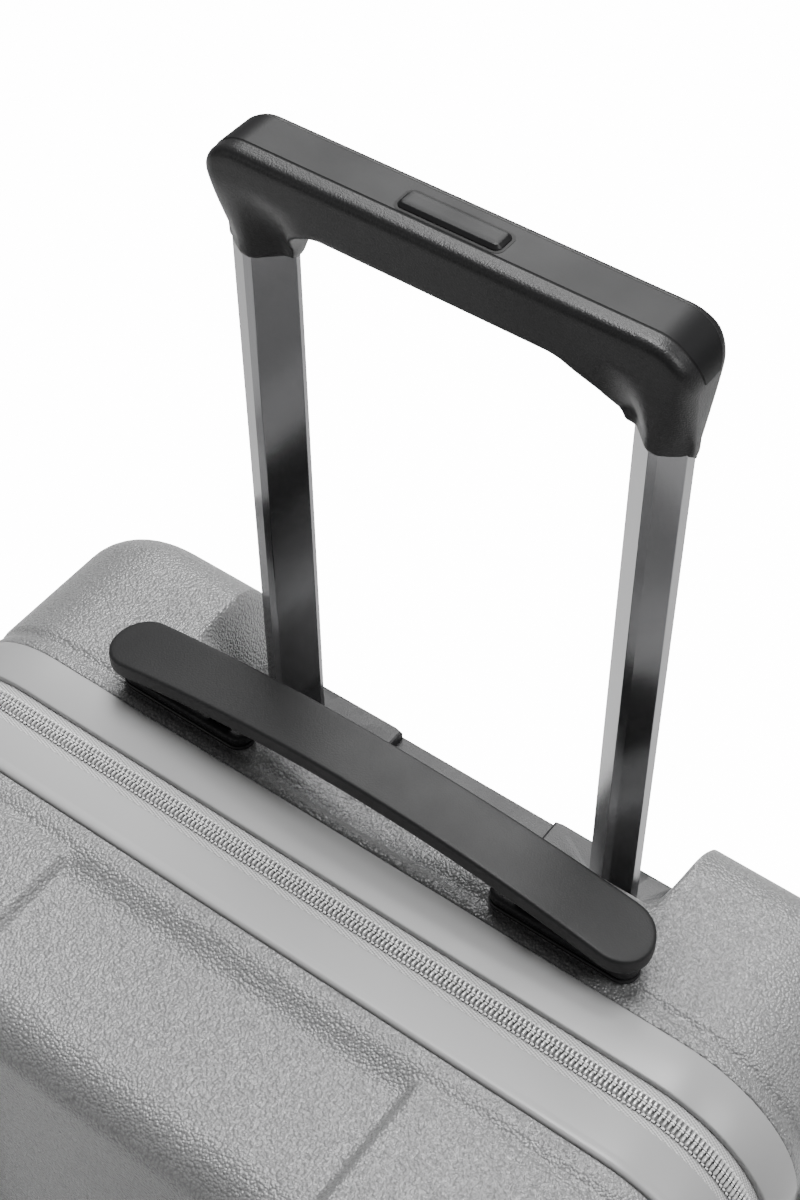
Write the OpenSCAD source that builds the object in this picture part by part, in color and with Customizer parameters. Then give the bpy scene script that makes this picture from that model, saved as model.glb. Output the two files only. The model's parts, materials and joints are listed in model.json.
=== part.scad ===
// Hard shell cabin suitcase on four twin casters, with a telescopic handle.
// Millimetres.  X runs across the case, the front faces -Y and +Z is up.
// The origin lies on the floor, under the middle of the case.

/* [Case] */
// Width of the two shells
case_w = 400; // [380:5:420]
// Depth of the closed case, front face to rear face
case_d = 234; // [230:2:240]
// Height of the underside of the shells over the floor
shell_z0 = 54; // [52:1:56]
// Height of the shells themselves
shell_h = 466; // [450:2:480]
// Depth of the front shell, from its face to the zip
front_depth = 118; // [112:1:122]
// Corner radius of the shells, seen from the front
corner_r = 52; // [44:1:56]
// Radius that rounds the faces into the sides
edge_r = 24; // [20:1:28]
// Wall thickness of the shells
wall = 3; // [2.5:0.1:3.5]

/* [Relief] */
// Height of the raised panels on the front shell
panel_h = 5; // [4:0.1:5.5]
// Distance from the centre to each raised panel
panel_x = 79; // [70:1:90]
// Distance from the zip to the raised panels
panel_y = 37; // [34:1:44]

/* [Rim and zip] */
// Width of each rim band
band_w = 19; // [17:1:20]
// Distance from the zip centre to each rim band
band_gap = 8; // [7:0.5:9]
// How far the rim bands stand over the shells
band_proud = 0.8; // [0.4:0.1:1.2]

/* [Trolley] */
// Distance between the two trolley tubes
tube_span = 157; // [155:1:159]
// Height of tube that shows below the grip
tube_shown = 262; // [258:1:264]
// Wall thickness of every trolley tube
tube_wall = 1.2; // [1:0.1:1.4]
// Depth of the recess that the grip folds into
recess_d = 59; // [57:1:60]
// Half width of that recess
recess_x = 100; // [99:1:103]
// Overall width of the grip
grip_w = 186; // [184:1:189]
// Depth of the grip, front to rear
grip_d = 26; // [24:1:28]
// Height of the grip with its legs
grip_h = 48; // [46:1:50]
// Travel of the release button
button_travel = 3; // [2:0.5:3]

/* [Handles] */
// Overall length of the carrying handle on top
top_handle_l = 249; // [240:1:255]
// Width of the carrying handle on top
handle_w = 27; // [25:1:28]
// Width of the carrying handle on the side
side_handle_w = 21; // [20:1:22]
// Thickness of the carrying handles
handle_t = 9; // [8:1:10]
// How far the middle of the top handle stands over its ends
handle_rise = 13; // [11:1:13]
// Overall length of the carrying handle on the side
side_handle_l = 200; // [180:1:210]
// How far the side handle and the side feet stand out
side_proud = 8; // [8:0.5:9]

/* [Casters] */
// Radius of the caster wheels
wheel_r = 21; // [20:0.5:21]
// Width of each wheel of a pair
wheel_w = 9; // [8:0.5:10]
// Distance from the swivel axis to the axle
trail = 13; // [11:0.5:14]
// Distance from the centre to each swivel axis, across the case
caster_x = 150; // [145:1:152]
// Distance from the centre to each swivel axis, front to rear
caster_y = 70; // [68:1:72]

/* [Hidden] */
$fn = 64;
eps = 0.01;
air = 0.3;                       // gap between parts that do not touch
run_fit = 0.05;                  // radial clearance of pins in bores

shell_top = shell_z0 + shell_h;
shell_mid = shell_z0 + shell_h / 2;
front_y = -case_d / 2;
rear_y = case_d / 2;
zip_y = front_y + front_depth;
half_w = case_w / 2;
rim_t = 3.2;                     // thickness of the rim bands
flange_in = rim_t + air - band_proud;   // how far the shell steps in under a band
cavity_step = 4;                 // thick part of the wall next to the flange
band_end = band_gap + band_w;

tape_t = 1.2;
tape_in = 1.8;                   // depth of the zip tape under the band surface
coil_w = 2.6;
coil_t = 2.4;
hinge_half = 150;                // half height of the fabric hinge
hinge_x = -half_w - 3;           // hinge axis, just outside the case

tube_x = tube_span / 2;
tube_y = zip_y + 91.5;
tray_top = shell_top - recess_d;
tray_t = 4;
tray_boss = 5;                   // height of the rim round each tube
recess_y = zip_y + 73;
grip_z = tray_top + tube_shown;  // underside of the grip's legs
socket_d = 16;                   // how deep the tubes enter the grip
inner_bottom = grip_z - 398;
middle_top = tray_top + tray_boss;
middle_bottom = inner_bottom - 254;
outer_bottom = shell_z0 + wall + 12;
bar_under = grip_z + 26;         // underside of the grip's crossbar
cavity_z0 = grip_z + 29.5;
cap_t = 4;
cap_z0 = grip_z + grip_h - cap_t;
yoke_z0 = grip_z + 34;
yoke_t = 3.5;
button_l = 39;
button_w = 9.5;
button_proud = 2;
rod_r = 2;

handle_y = zip_y + 40.5;
mount_l = 64;
mount_w = 13;
mount_t = 6;
mount_x = 89;                    // centre of each mount of the top handle
tongue_dx = 16;                  // half distance between the two tongues of a mount
tongue_w = 10;
tongue_reach = 14;               // how far the tongues reach into the shell
handle_gap = 12;                 // clearance between the shell and the ends of the top handle
finger_half = 50;                // half length of the finger scoop
arch_r = (pow(top_handle_l / 2, 2) + pow(handle_rise, 2)) / (2 * handle_rise);
scoop_r = 150;
scoop_d = 8;
scoop_w = 30;

side_y = zip_y + 50;
side_z = shell_mid - 20;
side_pocket_d = 16;
side_mount_z = 66;               // centre of each mount of the side handle
lock_z = shell_mid + 130;
lock_l = 62;
lock_w = 30;
lock_out = 5;
dial_r = 6;
dial_t = 4.4;
dial_pitch = 8;
spindle_r = 1.2;

housing_r = 27;
housing_t = 5;
boss_r = 9;
stem_r = 4;
fork_t = 8;
axle_r = 2.5;

lining_t = 1.2;

// ---------- wedge section of the trolley tubes ----------
// Each face is [direction of its outward normal, distance from the centre],
// in order round the section of the left tube; x points to the middle.
wedge_faces = [[0, 11.4], [90, 6], [135, 10.2], [180, 11.4], [242, 7.6], [270, 6.8], [313, 5.0]];
function wedge_corner(a, b, m) =
    let (c1 = cos(a[0]), s1 = sin(a[0]), c2 = cos(b[0]), s2 = sin(b[0]),
         d = c1 * s2 - c2 * s1, p = a[1] + m, q = b[1] + m)
    [(p * s2 - q * s1) / d, (q * c1 - p * c2) / d];
function wedge(m) = [for (i = [0 : len(wedge_faces) - 1])
    wedge_corner(wedge_faces[i], wedge_faces[(i + 1) % len(wedge_faces)], m)];

// A prism with the wedge section, side -1 for the left tube and 1 for the right.
module wedge_prism(side, m, z0, z1) {
    translate([side * tube_x, tube_y, z0])
        mirror([side > 0 ? 1 : 0, 0, 0])
            linear_extrude(z1 - z0) polygon(wedge(m));
}

// ---------- shared shapes ----------
// Rounded rectangle centred on the origin, made of true arcs.
module round_rect(w, h, r) {
    square([w - 2 * r, h], center = true);
    square([w, h - 2 * r], center = true);
    for (sx = [-1, 1], sz = [-1, 1])
        translate([sx * (w / 2 - r), sz * (h / 2 - r)]) circle(r);
}

// Extrudes a front-view outline from y0 to y1.
module front_extrude(y0, y1) {
    translate([0, y1, 0]) rotate([90, 0, 0]) linear_extrude(y1 - y0) children();
}

// Outline of the case seen from the front, made smaller by inset.
module case_outline(inset) {
    translate([0, shell_mid])
        round_rect(case_w - 2 * inset, shell_h - 2 * inset, corner_r - inset);
}

// A ring that follows the case outline between two insets.
module case_ring(inset_out, inset_in, y0, y1) {
    front_extrude(y0, y1) difference() {
        case_outline(inset_out);
        case_outline(inset_in);
    }
}

// A disc whose far edge is rounded; dir is 1 to face the rear and -1 the front.
module edge_puck(r, e, y0, dir, depth) {
    translate([0, y0, 0]) rotate([-90 * dir, 0, 0])
        rotate_extrude($fn = 40) {
            square([r - e, depth]);
            square([r, depth - e]);
            translate([r - e, depth - e]) intersection() {
                circle(e);
                square(e);
            }
        }
}

// Closed tub with rounded corners and face edges, open on the side at y0.
module tub(inset, y0, dir, depth) {
    r = corner_r - inset;
    x = half_w - inset - r;
    z = shell_h / 2 - inset - r;
    hull() for (sx = [-1, 1], sz = [-1, 1])
        translate([sx * x, 0, shell_mid + sz * z])
            edge_puck(r, max(edge_r - inset, 2), y0, dir, depth);
}

// The hollow inside a shell: narrow in the flange, wide beyond y1.
module case_cavity(y0, y1, dir, depth) {
    front_extrude(min(y0, y1) - eps, max(y0, y1) + eps) case_outline(flange_in + wall);
    tub(dir > 0 ? wall : wall + panel_h, y1, dir, depth);
}

// Block given by its two opposite corners.
module block(a, b) {
    translate(a) cube(b - a);
}

// A bar with round ends along X, Y or Z is cut from this flat outline.
module slot_outline(l, w) {
    square([l - w, w], center = true);
    for (s = [-1, 1]) translate([s * (l - w) / 2, 0]) circle(w / 2);
}

// Repeats a part at every caster of one shell.
module at_casters(y) {
    for (sx = [-1, 1]) translate([sx * caster_x, y, 0]) children();
}

// ---------- shells ----------
module rear_shell() {
    y0 = zip_y + band_end + air;
    depth = rear_y - y0;
    recess_wall = tray_top - tray_t - wall;
    color("silver") difference() {
        union() {
            difference() {
                union() {
                    tub(0, y0, 1, depth);
                    case_ring(flange_in, flange_in + wall, zip_y + band_gap, y0 + eps);
                }
                case_cavity(zip_y, y0 + cavity_step, 1, depth - cavity_step - wall);
            }
            intersection() {
                tub(0, y0, 1, depth);
                union() {
                    block([-recess_x - wall, recess_y - wall, recess_wall],
                          [recess_x + wall, rear_y, shell_top]);
                    scoop_block(wall);
                    side_pocket(wall);
                }
            }
        }
        block([-recess_x, recess_y, tray_top - tray_t],
              [recess_x, rear_y + 1, shell_top + 1]);
        scoop_block(0);
        side_pocket(0);
        for (s = [-1, 1]) wedge_prism(s, 3.3, recess_wall - 1, tray_top);
        lock_pocket();
        for (s = [-1, 1], k = [-1, 1]) {
            translate([s * mount_x + k * tongue_dx, handle_y, shell_top]) tongue_slot(wall + 2);
            translate([half_w - side_pocket_d, side_y, side_z + s * side_mount_z + k * tongue_dx])
                rotate([0, 90, 0]) tongue_slot(wall + 2);
        }
        at_casters(zip_y + caster_y) cylinder(h = shell_z0 + wall + 20, r = boss_r + 0.1);
    }
}

// Room for the fingers under the handle on top; grown by g it is the wall round it.
module scoop_block(g) {
    w = scoop_w + 2 * g;
    translate([0, handle_y - w / 2, shell_top - scoop_d + scoop_r])
        intersection() {
            rotate([-90, 0, 0]) cylinder(h = w, r = scoop_r + g, $fn = 128);
            block([-finger_half - g, 0, -scoop_r - g], [finger_half + g, w, 0]);
        }
}

// Room for the fingers under the handle on the side, grown by g for its wall.
module side_pocket(g) {
    l = side_handle_l + 14 + 2 * g;
    w = side_handle_w + 14 + 2 * g;
    translate([half_w - side_pocket_d - g, side_y, side_z])
        rotate([0, 90, 0]) linear_extrude(side_pocket_d + g + 1) round_rect(l, w, 18 + g);
}

// The two outer thirds of the case, where the front shell is raised.
module side_slabs(x, y0, y1) {
    for (s = [0, 1]) mirror([s, 0, 0]) block([x, y0, 0], [half_w, y1, 2 * shell_top]);
}

module front_shell() {
    y0 = zip_y - band_end - air;
    depth = y0 - front_y;
    color("silver") difference() {
        union() {
            tub(panel_h, y0, -1, depth - panel_h);
            intersection() {
                tub(0, y0, -1, depth);
                union() {
                    side_slabs(panel_x, front_y, zip_y - panel_y);
                    block([-half_w, zip_y - band_end - 6, 0], [half_w, y0, 2 * shell_top]);
                }
            }
            case_ring(flange_in, flange_in + wall, y0 - eps, zip_y - band_gap);
        }
        case_cavity(zip_y, y0 - cavity_step, -1, depth - cavity_step - wall - panel_h);
        intersection() {
            tub(wall, y0 - cavity_step, -1, depth - cavity_step - wall);
            side_slabs(panel_x + wall, front_y, zip_y - panel_y - wall);
        }
        at_casters(zip_y - caster_y) cylinder(h = shell_z0 + wall + 20, r = boss_r + 0.1);
    }
}

module rear_rim_band() {
    color("gray") case_ring(-band_proud, rim_t - band_proud,
                            zip_y + band_gap, zip_y + band_end);
}

module front_rim_band() {
    color("gray") case_ring(-band_proud, rim_t - band_proud,
                            zip_y - band_end, zip_y - band_gap);
}

// ---------- zip ----------
// Removes the stretch of a ring where the fabric hinge is.
module zip_run() {
    difference() {
        children();
        block([-half_w - 5, zip_y - 20, shell_mid - hinge_half],
              [-half_w + 12, zip_y + 20, shell_mid + hinge_half]);
    }
}

module rear_zip_tape() {
    color("gainsboro") zip_run()
        case_ring(tape_in, tape_in + tape_t, zip_y + 0.4, zip_y + band_gap - 0.05);
}

module front_zip_tape() {
    color("gainsboro") zip_run()
        case_ring(tape_in, tape_in + tape_t, zip_y - band_gap + 0.05, zip_y - 0.4);
}

module rear_zip_coil() {
    color("lightgray") zip_run()
        case_ring(tape_in - coil_t, tape_in - 0.05, zip_y + 0.2, zip_y + coil_w);
}

module front_zip_coil() {
    color("lightgray") zip_run()
        case_ring(tape_in - coil_t, tape_in - 0.05, zip_y - coil_w, zip_y - 0.2);
}

coil_face = half_w - tape_in + coil_t;   // outer face of the coil on the right side
slider_z = [lock_z - 66, lock_z - 116];   // centres of the two sliders at rest
slider_l = 15;
slider_w = 13;
slider_t = 2;
pull_l = 30;
pull_w = 9;
pull_t = 1.8;
pull_pin_r = 1;

// The slider's body lies over the coil and carries the pin of its pull.
module zip_slider(z) {
    x0 = coil_face + air;
    color("dimgray") {
        block([x0, zip_y - slider_w / 2, z - slider_l / 2],
              [x0 + slider_t, zip_y + slider_w / 2, z + slider_l / 2]);
        difference() {
            block([x0 + slider_t, zip_y - 3, z - 5], [x0 + slider_t + 4.5, zip_y + 3, z + 5]);
            block([x0 + slider_t, zip_y - 4, z - 3], [x0 + slider_t + 3, zip_y + 4, z + 3]);
        }
    }
}

// The pull is a flat tab on a bail that passes through the slider's bridge.
module zip_pull(z) {
    x0 = coil_face + air + slider_t + air;
    color("dimgray") {
        translate([x0 + 1.2, zip_y + 5, z]) rotate([90, 0, 0]) cylinder(h = 10, r = pull_pin_r);
        for (s = [-1, 1])
            block([x0 + 0.3, zip_y + s * 4.4 - 0.9, z - 12], [x0 + 2.1, zip_y + s * 4.4 + 0.9, z + 1]);
        translate([x0 + 0.3, zip_y, z - 9 - pull_l / 2]) rotate([0, 90, 0])
            linear_extrude(pull_t) difference() {
                round_rect(pull_l, pull_w + 2, 4);
                translate([pull_l / 2 - 7, 0]) circle(2);
            }
    }
}

module hinge_strip() {
    z0 = shell_mid - hinge_half + 1;
    z1 = shell_mid + hinge_half - 1;
    color("darkgray") block([-half_w + 0.6, zip_y - band_gap + 0.5, z0],
                            [-half_w + 2, zip_y + band_gap - 0.1, z1]);
}

// ---------- trolley ----------
module trolley_tray() {
    z0 = tray_top - tray_t;
    edge = 0.4;
    color("black") difference() {
        union() {
            block([-recess_x + edge, recess_y + edge, z0],
                  [recess_x - edge, rear_y - edge, tray_top]);
            for (s = [-1, 1]) wedge_prism(s, 7, z0, tray_top + tray_boss);
        }
        for (s = [-1, 1]) wedge_prism(s, 2, z0 - 1, shell_top);
    }
}

module tube_foot() {
    z0 = shell_z0 + wall + 1.5;
    color("black") difference() {
        block([-tube_x - 22, tube_y - 13, z0], [tube_x + 22, tube_y + 6, outer_bottom]);
        for (sx = [-1, 1], sy = [-1, 1])
            translate([sx * (tube_x - 22), tube_y - 3 + sy * 6, z0 - 1]) cylinder(h = 20, r = 2.1);
    }
}

module outer_tube(side) {
    color("dimgray") difference() {
        wedge_prism(side, 3.2, outer_bottom, tray_top - tray_t);
        wedge_prism(side, 2, outer_bottom - 1, shell_top);
    }
}

module middle_tube(side) {
    color("gray") difference() {
        wedge_prism(side, 1.6, middle_bottom, middle_top - 6);
        wedge_prism(side, 0.4, middle_bottom - 1, shell_top);
    }
}

// Plastic guides in the mouths of the middle tubes.
module middle_tube_collars() {
    color("black") for (s = [-1, 1]) difference() {
        wedge_prism(s, 1.6, middle_top - 6, middle_top);
        wedge_prism(s, 0.25, middle_top - 7, shell_top);
    }
}

module inner_tube(side) {
    color("slategray") difference() {
        wedge_prism(side, 0, inner_bottom, grip_z + socket_d);
        wedge_prism(side, -tube_wall, inner_bottom - 1, shell_top + 400);
    }
}

// Plugs in the lower ends of the inner tubes, which hold the latch bolts.
module tube_plugs() {
    color("black") for (s = [-1, 1]) difference() {
        wedge_prism(s, -tube_wall - 0.05, inner_bottom, inner_bottom + 20);
        translate([s * tube_x, tube_y, inner_bottom + 4]) cylinder(h = 40, r = rod_r + 0.3);
    }
}

// Front view of the grip: rounded crossbar, arched opening and two tapering legs.
module grip_outline() {
    top_r = 16;
    leg_in = tube_x - 12.6;
    difference() {
        hull_free_grip(top_r);
        translate([0, grip_z - 20 + (bar_under - grip_z + 20) / 2])
            round_rect(2 * leg_in, bar_under - grip_z + 20, 14);
        for (s = [-1, 1]) polygon([
            [s * (tube_x + 12.6), grip_z - 1], [s * (grip_w / 2 + 1), grip_z - 1],
            [s * (grip_w / 2 + 1), bar_under], [s * grip_w / 2, bar_under]]);
    }
}

module hull_free_grip(r) {
    translate([0, grip_z + grip_h / 2]) round_rect(grip_w, grip_h, r);
    translate([-tube_x - 12.6, grip_z]) square([2 * tube_x + 25.2, grip_h / 2]);
}

module grip_body() {
    side_bevel = 5;
    color("black") difference() {
        intersection() {
            front_extrude(tube_y - grip_d / 2, tube_y + grip_d / 2) grip_outline();
            translate([-grip_w, 0, 0]) rotate([90, 0, 90]) linear_extrude(2 * grip_w)
                translate([tube_y, grip_z + grip_h / 2]) round_rect(grip_d, grip_h + 20, side_bevel);
        }
        block([-tube_x - 6, tube_y - 6.5, cavity_z0], [tube_x + 6, tube_y + 6.5, cap_z0 + 1]);
        block([-grip_w / 2 + 14, tube_y - 5.5, cap_z0], [grip_w / 2 - 14, tube_y + 9.5, grip_z + grip_h + 1]);
        for (s = [-1, 1]) {
            wedge_prism(s, 0.05, grip_z - 1, grip_z + socket_d);
            translate([s * tube_x, tube_y, grip_z]) cylinder(h = 30, r = rod_r + 0.4);
        }
    }
}

module grip_cap() {
    color("dimgray") difference() {
        block([-grip_w / 2 + 14.1, tube_y - 5.4, cap_z0 + 0.02],
              [grip_w / 2 - 14.1, tube_y + 9.4, grip_z + grip_h]);
        translate([0, tube_y, cap_z0 - 1]) linear_extrude(20)
            round_rect(button_l + 0.8, button_w + 0.8, 2.4);
    }
}

module release_button() {
    z0 = yoke_z0 + yoke_t;
    color("black") {
        translate([0, tube_y, cap_z0 - 2]) linear_extrude(cap_t + 2 + button_proud)
            round_rect(button_l, button_w, 2);
        translate([0, tube_y, z0]) linear_extrude(cap_z0 - 2 - z0)
            round_rect(button_l - 6, button_w - 2, 2);
    }
}

// The yoke under the button pushes a rod down each leg.
module release_yoke() {
    color("white") {
        block([-tube_x - 3, tube_y - 3.5, yoke_z0], [tube_x + 3, tube_y + 3.5, yoke_z0 + yoke_t]);
        for (s = [-1, 1]) translate([s * tube_x, tube_y, inner_bottom + 8])
            cylinder(h = yoke_z0 - inner_bottom - 8 + eps, r = rod_r);
    }
}

module button_springs() {
    color("silver") for (s = [-1, 1]) translate([s * 30, tube_y, cavity_z0]) difference() {
        cylinder(h = yoke_z0 - cavity_z0, r = 2.6);
        translate([0, 0, -1]) cylinder(h = 10, r = 1.8);
    }
}

// ---------- carrying handles ----------
module top_handle() {
    z0 = shell_top + handle_gap;
    tongue_z = z0 + handle_t + 1.5;
    color("black") {
        intersection() {
            translate([0, handle_y, z0 - 1]) linear_extrude(handle_t + handle_rise + 2)
                slot_outline(top_handle_l, handle_w);
            translate([0, handle_y - handle_w, z0 + handle_t + handle_rise - arch_r])
                rotate([-90, 0, 0]) difference() {
                    cylinder(h = 2 * handle_w, r = arch_r, $fn = 360);
                    translate([0, 0, -1])
                        cylinder(h = 2 * handle_w + 2, r = arch_r - handle_t, $fn = 360);
                }
        }
        for (s = [-1, 1], k = [-1, 1]) translate([s * mount_x + k * tongue_dx, handle_y, tongue_z])
            tongue(tongue_z - shell_top + tongue_reach);
    }
}

// A tongue that hangs from a handle, with a head that stops it from pulling out.
module tongue(l) {
    translate([-tongue_w / 2, -2, -l]) cube([tongue_w, 4, l]);
    translate([-tongue_w / 2 - 2, -2, -l]) cube([tongue_w + 4, 4, 2]);
}

// The hole that a tongue slides in.
module tongue_slot(l) {
    translate([-tongue_w / 2 - 0.5, -2.5, -l]) cube([tongue_w + 1, 5, l + 10]);
}

// The handle's tongues slide in the slots of these plates.
module top_handle_mount(s) {
    color("black") difference() {
        translate([s * mount_x, handle_y, shell_top + 0.02]) linear_extrude(mount_t)
            slot_outline(mount_l, mount_w);
        for (k = [-1, 1]) translate([s * mount_x + k * tongue_dx, handle_y, shell_top])
            tongue_slot(2);
    }
}

module side_handle() {
    x0 = half_w + side_proud - handle_t;
    color("black") {
        translate([x0, side_y, side_z]) rotate([0, 90, 0])
            linear_extrude(handle_t) slot_outline(side_handle_l, side_handle_w);
        for (s = [-1, 1], k = [-1, 1])
            translate([x0, side_y, side_z + s * side_mount_z + k * tongue_dx]) rotate([0, 90, 0])
                tongue(x0 - half_w + side_pocket_d + tongue_reach);
    }
}

module side_handle_mount(s) {
    color("black") difference() {
        translate([half_w - side_pocket_d + 0.02, side_y, side_z + s * side_mount_z])
            rotate([0, 90, 0]) linear_extrude(mount_t) slot_outline(mount_l - 6, mount_w);
        for (k = [-1, 1])
            translate([half_w - side_pocket_d, side_y, side_z + s * side_mount_z + k * tongue_dx])
                rotate([0, 90, 0]) tongue_slot(2);
    }
}

// ---------- combination lock ----------
lock_x = half_w + 0.02;
dial_x = lock_x + lock_out - dial_r + 1.6;
dial_z = [for (i = [-1 : 1]) lock_z + 4 + i * dial_pitch];

module lock_housing() {
    color("dimgray") difference() {
        translate([lock_x - 6, side_y, lock_z]) rotate([0, 90, 0])
            linear_extrude(lock_out + 6) round_rect(lock_l, lock_w, 7);
        for (z = dial_z) translate([dial_x, side_y, z - dial_t / 2 - 0.4])
            cylinder(h = dial_t + 0.8, r = dial_r + 0.5);
        translate([dial_x, side_y, lock_z - 14]) cylinder(h = 33, r = spindle_r);
        block([lock_x + 1, side_y - 5.3, lock_z + 20.7], [lock_x + 9, side_y + 5.3, lock_z + 27.3]);
        translate([lock_x - 3, side_y, lock_z - 21]) rotate([0, 90, 0])
            cylinder(h = 12, r = 4 + run_fit);
    }
}

// Pocket in the shell for the back of the lock.
module lock_pocket() {
    translate([lock_x - 6.1, side_y, lock_z]) rotate([0, 90, 0])
        linear_extrude(10) round_rect(lock_l + 0.2, lock_w + 0.2, 7.1);
}

module lock_dial(i) {
    color("black") translate([dial_x, side_y, dial_z[i] - dial_t / 2]) difference() {
        cylinder(h = dial_t, r = dial_r);
        translate([0, 0, -1]) cylinder(h = dial_t + 2, r = spindle_r + run_fit);
    }
}

module lock_spindle() {
    color("silver") translate([dial_x, side_y, lock_z - 14]) cylinder(h = 33, r = spindle_r);
}

module lock_release() {
    color("black") block([lock_x + 1.1, side_y - 5, lock_z + 21], [lock_x + lock_out + 2, side_y + 5, lock_z + 24]);
}

module key_barrel() {
    color("silver") translate([lock_x - 3, side_y, lock_z - 21]) rotate([0, 90, 0]) difference() {
        cylinder(h = lock_out + 3.4, r = 4);
        translate([-0.6, -2.4, lock_out]) cube([1.2, 4.8, 5]);
    }
}

// ---------- feet and casters ----------
// Rubber-tipped studs on the hinge side, for laying the case down.
module side_feet(y) {
    color("dimgray") for (z = [shell_z0 + 90, shell_top - 90])
        translate([-half_w - side_proud, y, z]) rotate([0, 90, 0]) {
            cylinder(h = side_proud, r = 11);
        }
}

module caster_housings(y) {
    color("dimgray") at_casters(y) difference() {
        union() {
            translate([0, 0, shell_z0 - housing_t]) cylinder(h = housing_t, r = housing_r);
            translate([0, 0, shell_z0 - eps]) cylinder(h = 15, r = boss_r);
        }
        translate([0, 0, shell_z0 - housing_t - 1]) cylinder(h = housing_t + 13, r = stem_r + run_fit);
    }
}

module caster_fork(x, y) {
    top = shell_z0 - housing_t - air;
    color("dimgray") translate([x, y, 0]) {
        difference() {
            union() {
                translate([0, 0, top - 3]) cylinder(h = 3, r = housing_r - 6);
                translate([-fork_t / 2, -trail - 8, wheel_r - 8]) cube([fork_t, trail + 16, top - wheel_r + 6]);
            }
            translate([-fork_t, -trail, wheel_r]) rotate([0, 90, 0]) cylinder(h = 2 * fork_t, r = axle_r);
        }
        translate([0, 0, top - 0.5]) cylinder(h = 16, r = stem_r);
        translate([-fork_t / 2 - wheel_w - 0.2, -trail, wheel_r]) rotate([0, 90, 0])
            cylinder(h = fork_t + 2 * wheel_w + 0.4, r = axle_r);
    }
}

module caster_wheels(x, y) {
    color("black") translate([x, y - trail, wheel_r]) for (s = [-1, 1])
        translate([s * (fork_t / 2 + air + wheel_w / 2) - wheel_w / 2, 0, 0]) rotate([0, 90, 0])
            difference() {
                rotate_extrude() {
                    square([wheel_r - 2, wheel_w]);
                    translate([0, 2]) square([wheel_r, wheel_w - 4]);
                    for (z = [2, wheel_w - 2]) translate([wheel_r - 2, z]) circle(2, $fn = 32);
                }
                translate([0, 0, -1]) cylinder(h = wheel_w + 2, r = axle_r + run_fit);
            }
}

// ---------- interior ----------
// Fabric panel that hides the trolley tubes inside the rear shell.
module rear_lining() {
    lining_y = tube_y - 15.5;
    z0 = shell_z0 + 18;
    z1 = tray_top - tray_t - wall - 4;
    color("gray") front_extrude(lining_y, lining_y + lining_t)
        translate([0, (z0 + z1) / 2]) round_rect(case_w - 48, z1 - z0, 30);
}

module front_lining() {
    lining_y = front_y + panel_h + wall + 4;
    color("gray") front_extrude(lining_y, lining_y + lining_t) case_outline(24);
}

strap_y = tube_y - 18;
strap_w = 25;
strap_t = 1.5;

// Two straps that cross over the packing in the rear shell.
module packing_straps() {
    color("dimgray") for (s = [-1, 1])
        translate([0, strap_y - (s > 0 ? 0 : strap_t + 0.1), shell_mid]) rotate([0, s * 50, 0])
            translate([-200, 0, -strap_w / 2]) cube([400, strap_t, strap_w]);
}

module strap_buckle() {
    color("black") translate([0, strap_y - strap_t - 0.3, shell_mid]) rotate([90, 0, 0])
        linear_extrude(8) round_rect(58, 40, 8);
}

// ---------- whole case ----------
rear_shell();
front_shell();
rear_rim_band();
front_rim_band();
rear_zip_tape();
front_zip_tape();
rear_zip_coil();
front_zip_coil();
zip_slider(slider_z[0]);  // zip_slider_upper
zip_slider(slider_z[1]);  // zip_slider_lower
zip_pull(slider_z[0]);  // zip_pull_upper
zip_pull(slider_z[1]);  // zip_pull_lower
hinge_strip();
trolley_tray();
tube_foot();
outer_tube(-1);  // outer_tube_left
outer_tube(1);  // outer_tube_right
middle_tube(-1);  // middle_tube_left
middle_tube(1);  // middle_tube_right
middle_tube_collars();
inner_tube(-1);  // inner_tube_left
inner_tube(1);  // inner_tube_right
tube_plugs();
grip_body();
grip_cap();
release_button();
release_yoke();
button_springs();
top_handle();
top_handle_mount(-1);  // top_handle_mount_left
top_handle_mount(1);  // top_handle_mount_right
side_handle();
side_handle_mount(1);  // side_handle_mount_upper
side_handle_mount(-1);  // side_handle_mount_lower
lock_housing();
lock_dial(0);  // lock_dial_1
lock_dial(1);  // lock_dial_2
lock_dial(2);  // lock_dial_3
lock_spindle();
lock_release();
key_barrel();
side_feet(zip_y + 62);  // rear_side_feet
side_feet(zip_y - 62);  // front_side_feet
caster_housings(zip_y + caster_y);  // caster_housings_rear
caster_housings(zip_y - caster_y);  // caster_housings_front
caster_fork(-caster_x, zip_y + caster_y);  // caster_fork_rear_left
caster_fork(caster_x, zip_y + caster_y);  // caster_fork_rear_right
caster_fork(-caster_x, zip_y - caster_y);  // caster_fork_front_left
caster_fork(caster_x, zip_y - caster_y);  // caster_fork_front_right
caster_wheels(-caster_x, zip_y + caster_y);  // caster_wheels_rear_left
caster_wheels(caster_x, zip_y + caster_y);  // caster_wheels_rear_right
caster_wheels(-caster_x, zip_y - caster_y);  // caster_wheels_front_left
caster_wheels(caster_x, zip_y - caster_y);  // caster_wheels_front_right
rear_lining();
front_lining();
packing_straps();
strap_buckle();
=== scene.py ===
"""Hard shell cabin suitcase, built round its packed mechanical frame."""
import json
import logging
import math
from collections.abc import Callable, Iterable, Sequence
from dataclasses import dataclass
from enum import Enum

import bmesh
import bpy
import numpy as np
from mathutils import Matrix, Vector

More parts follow.
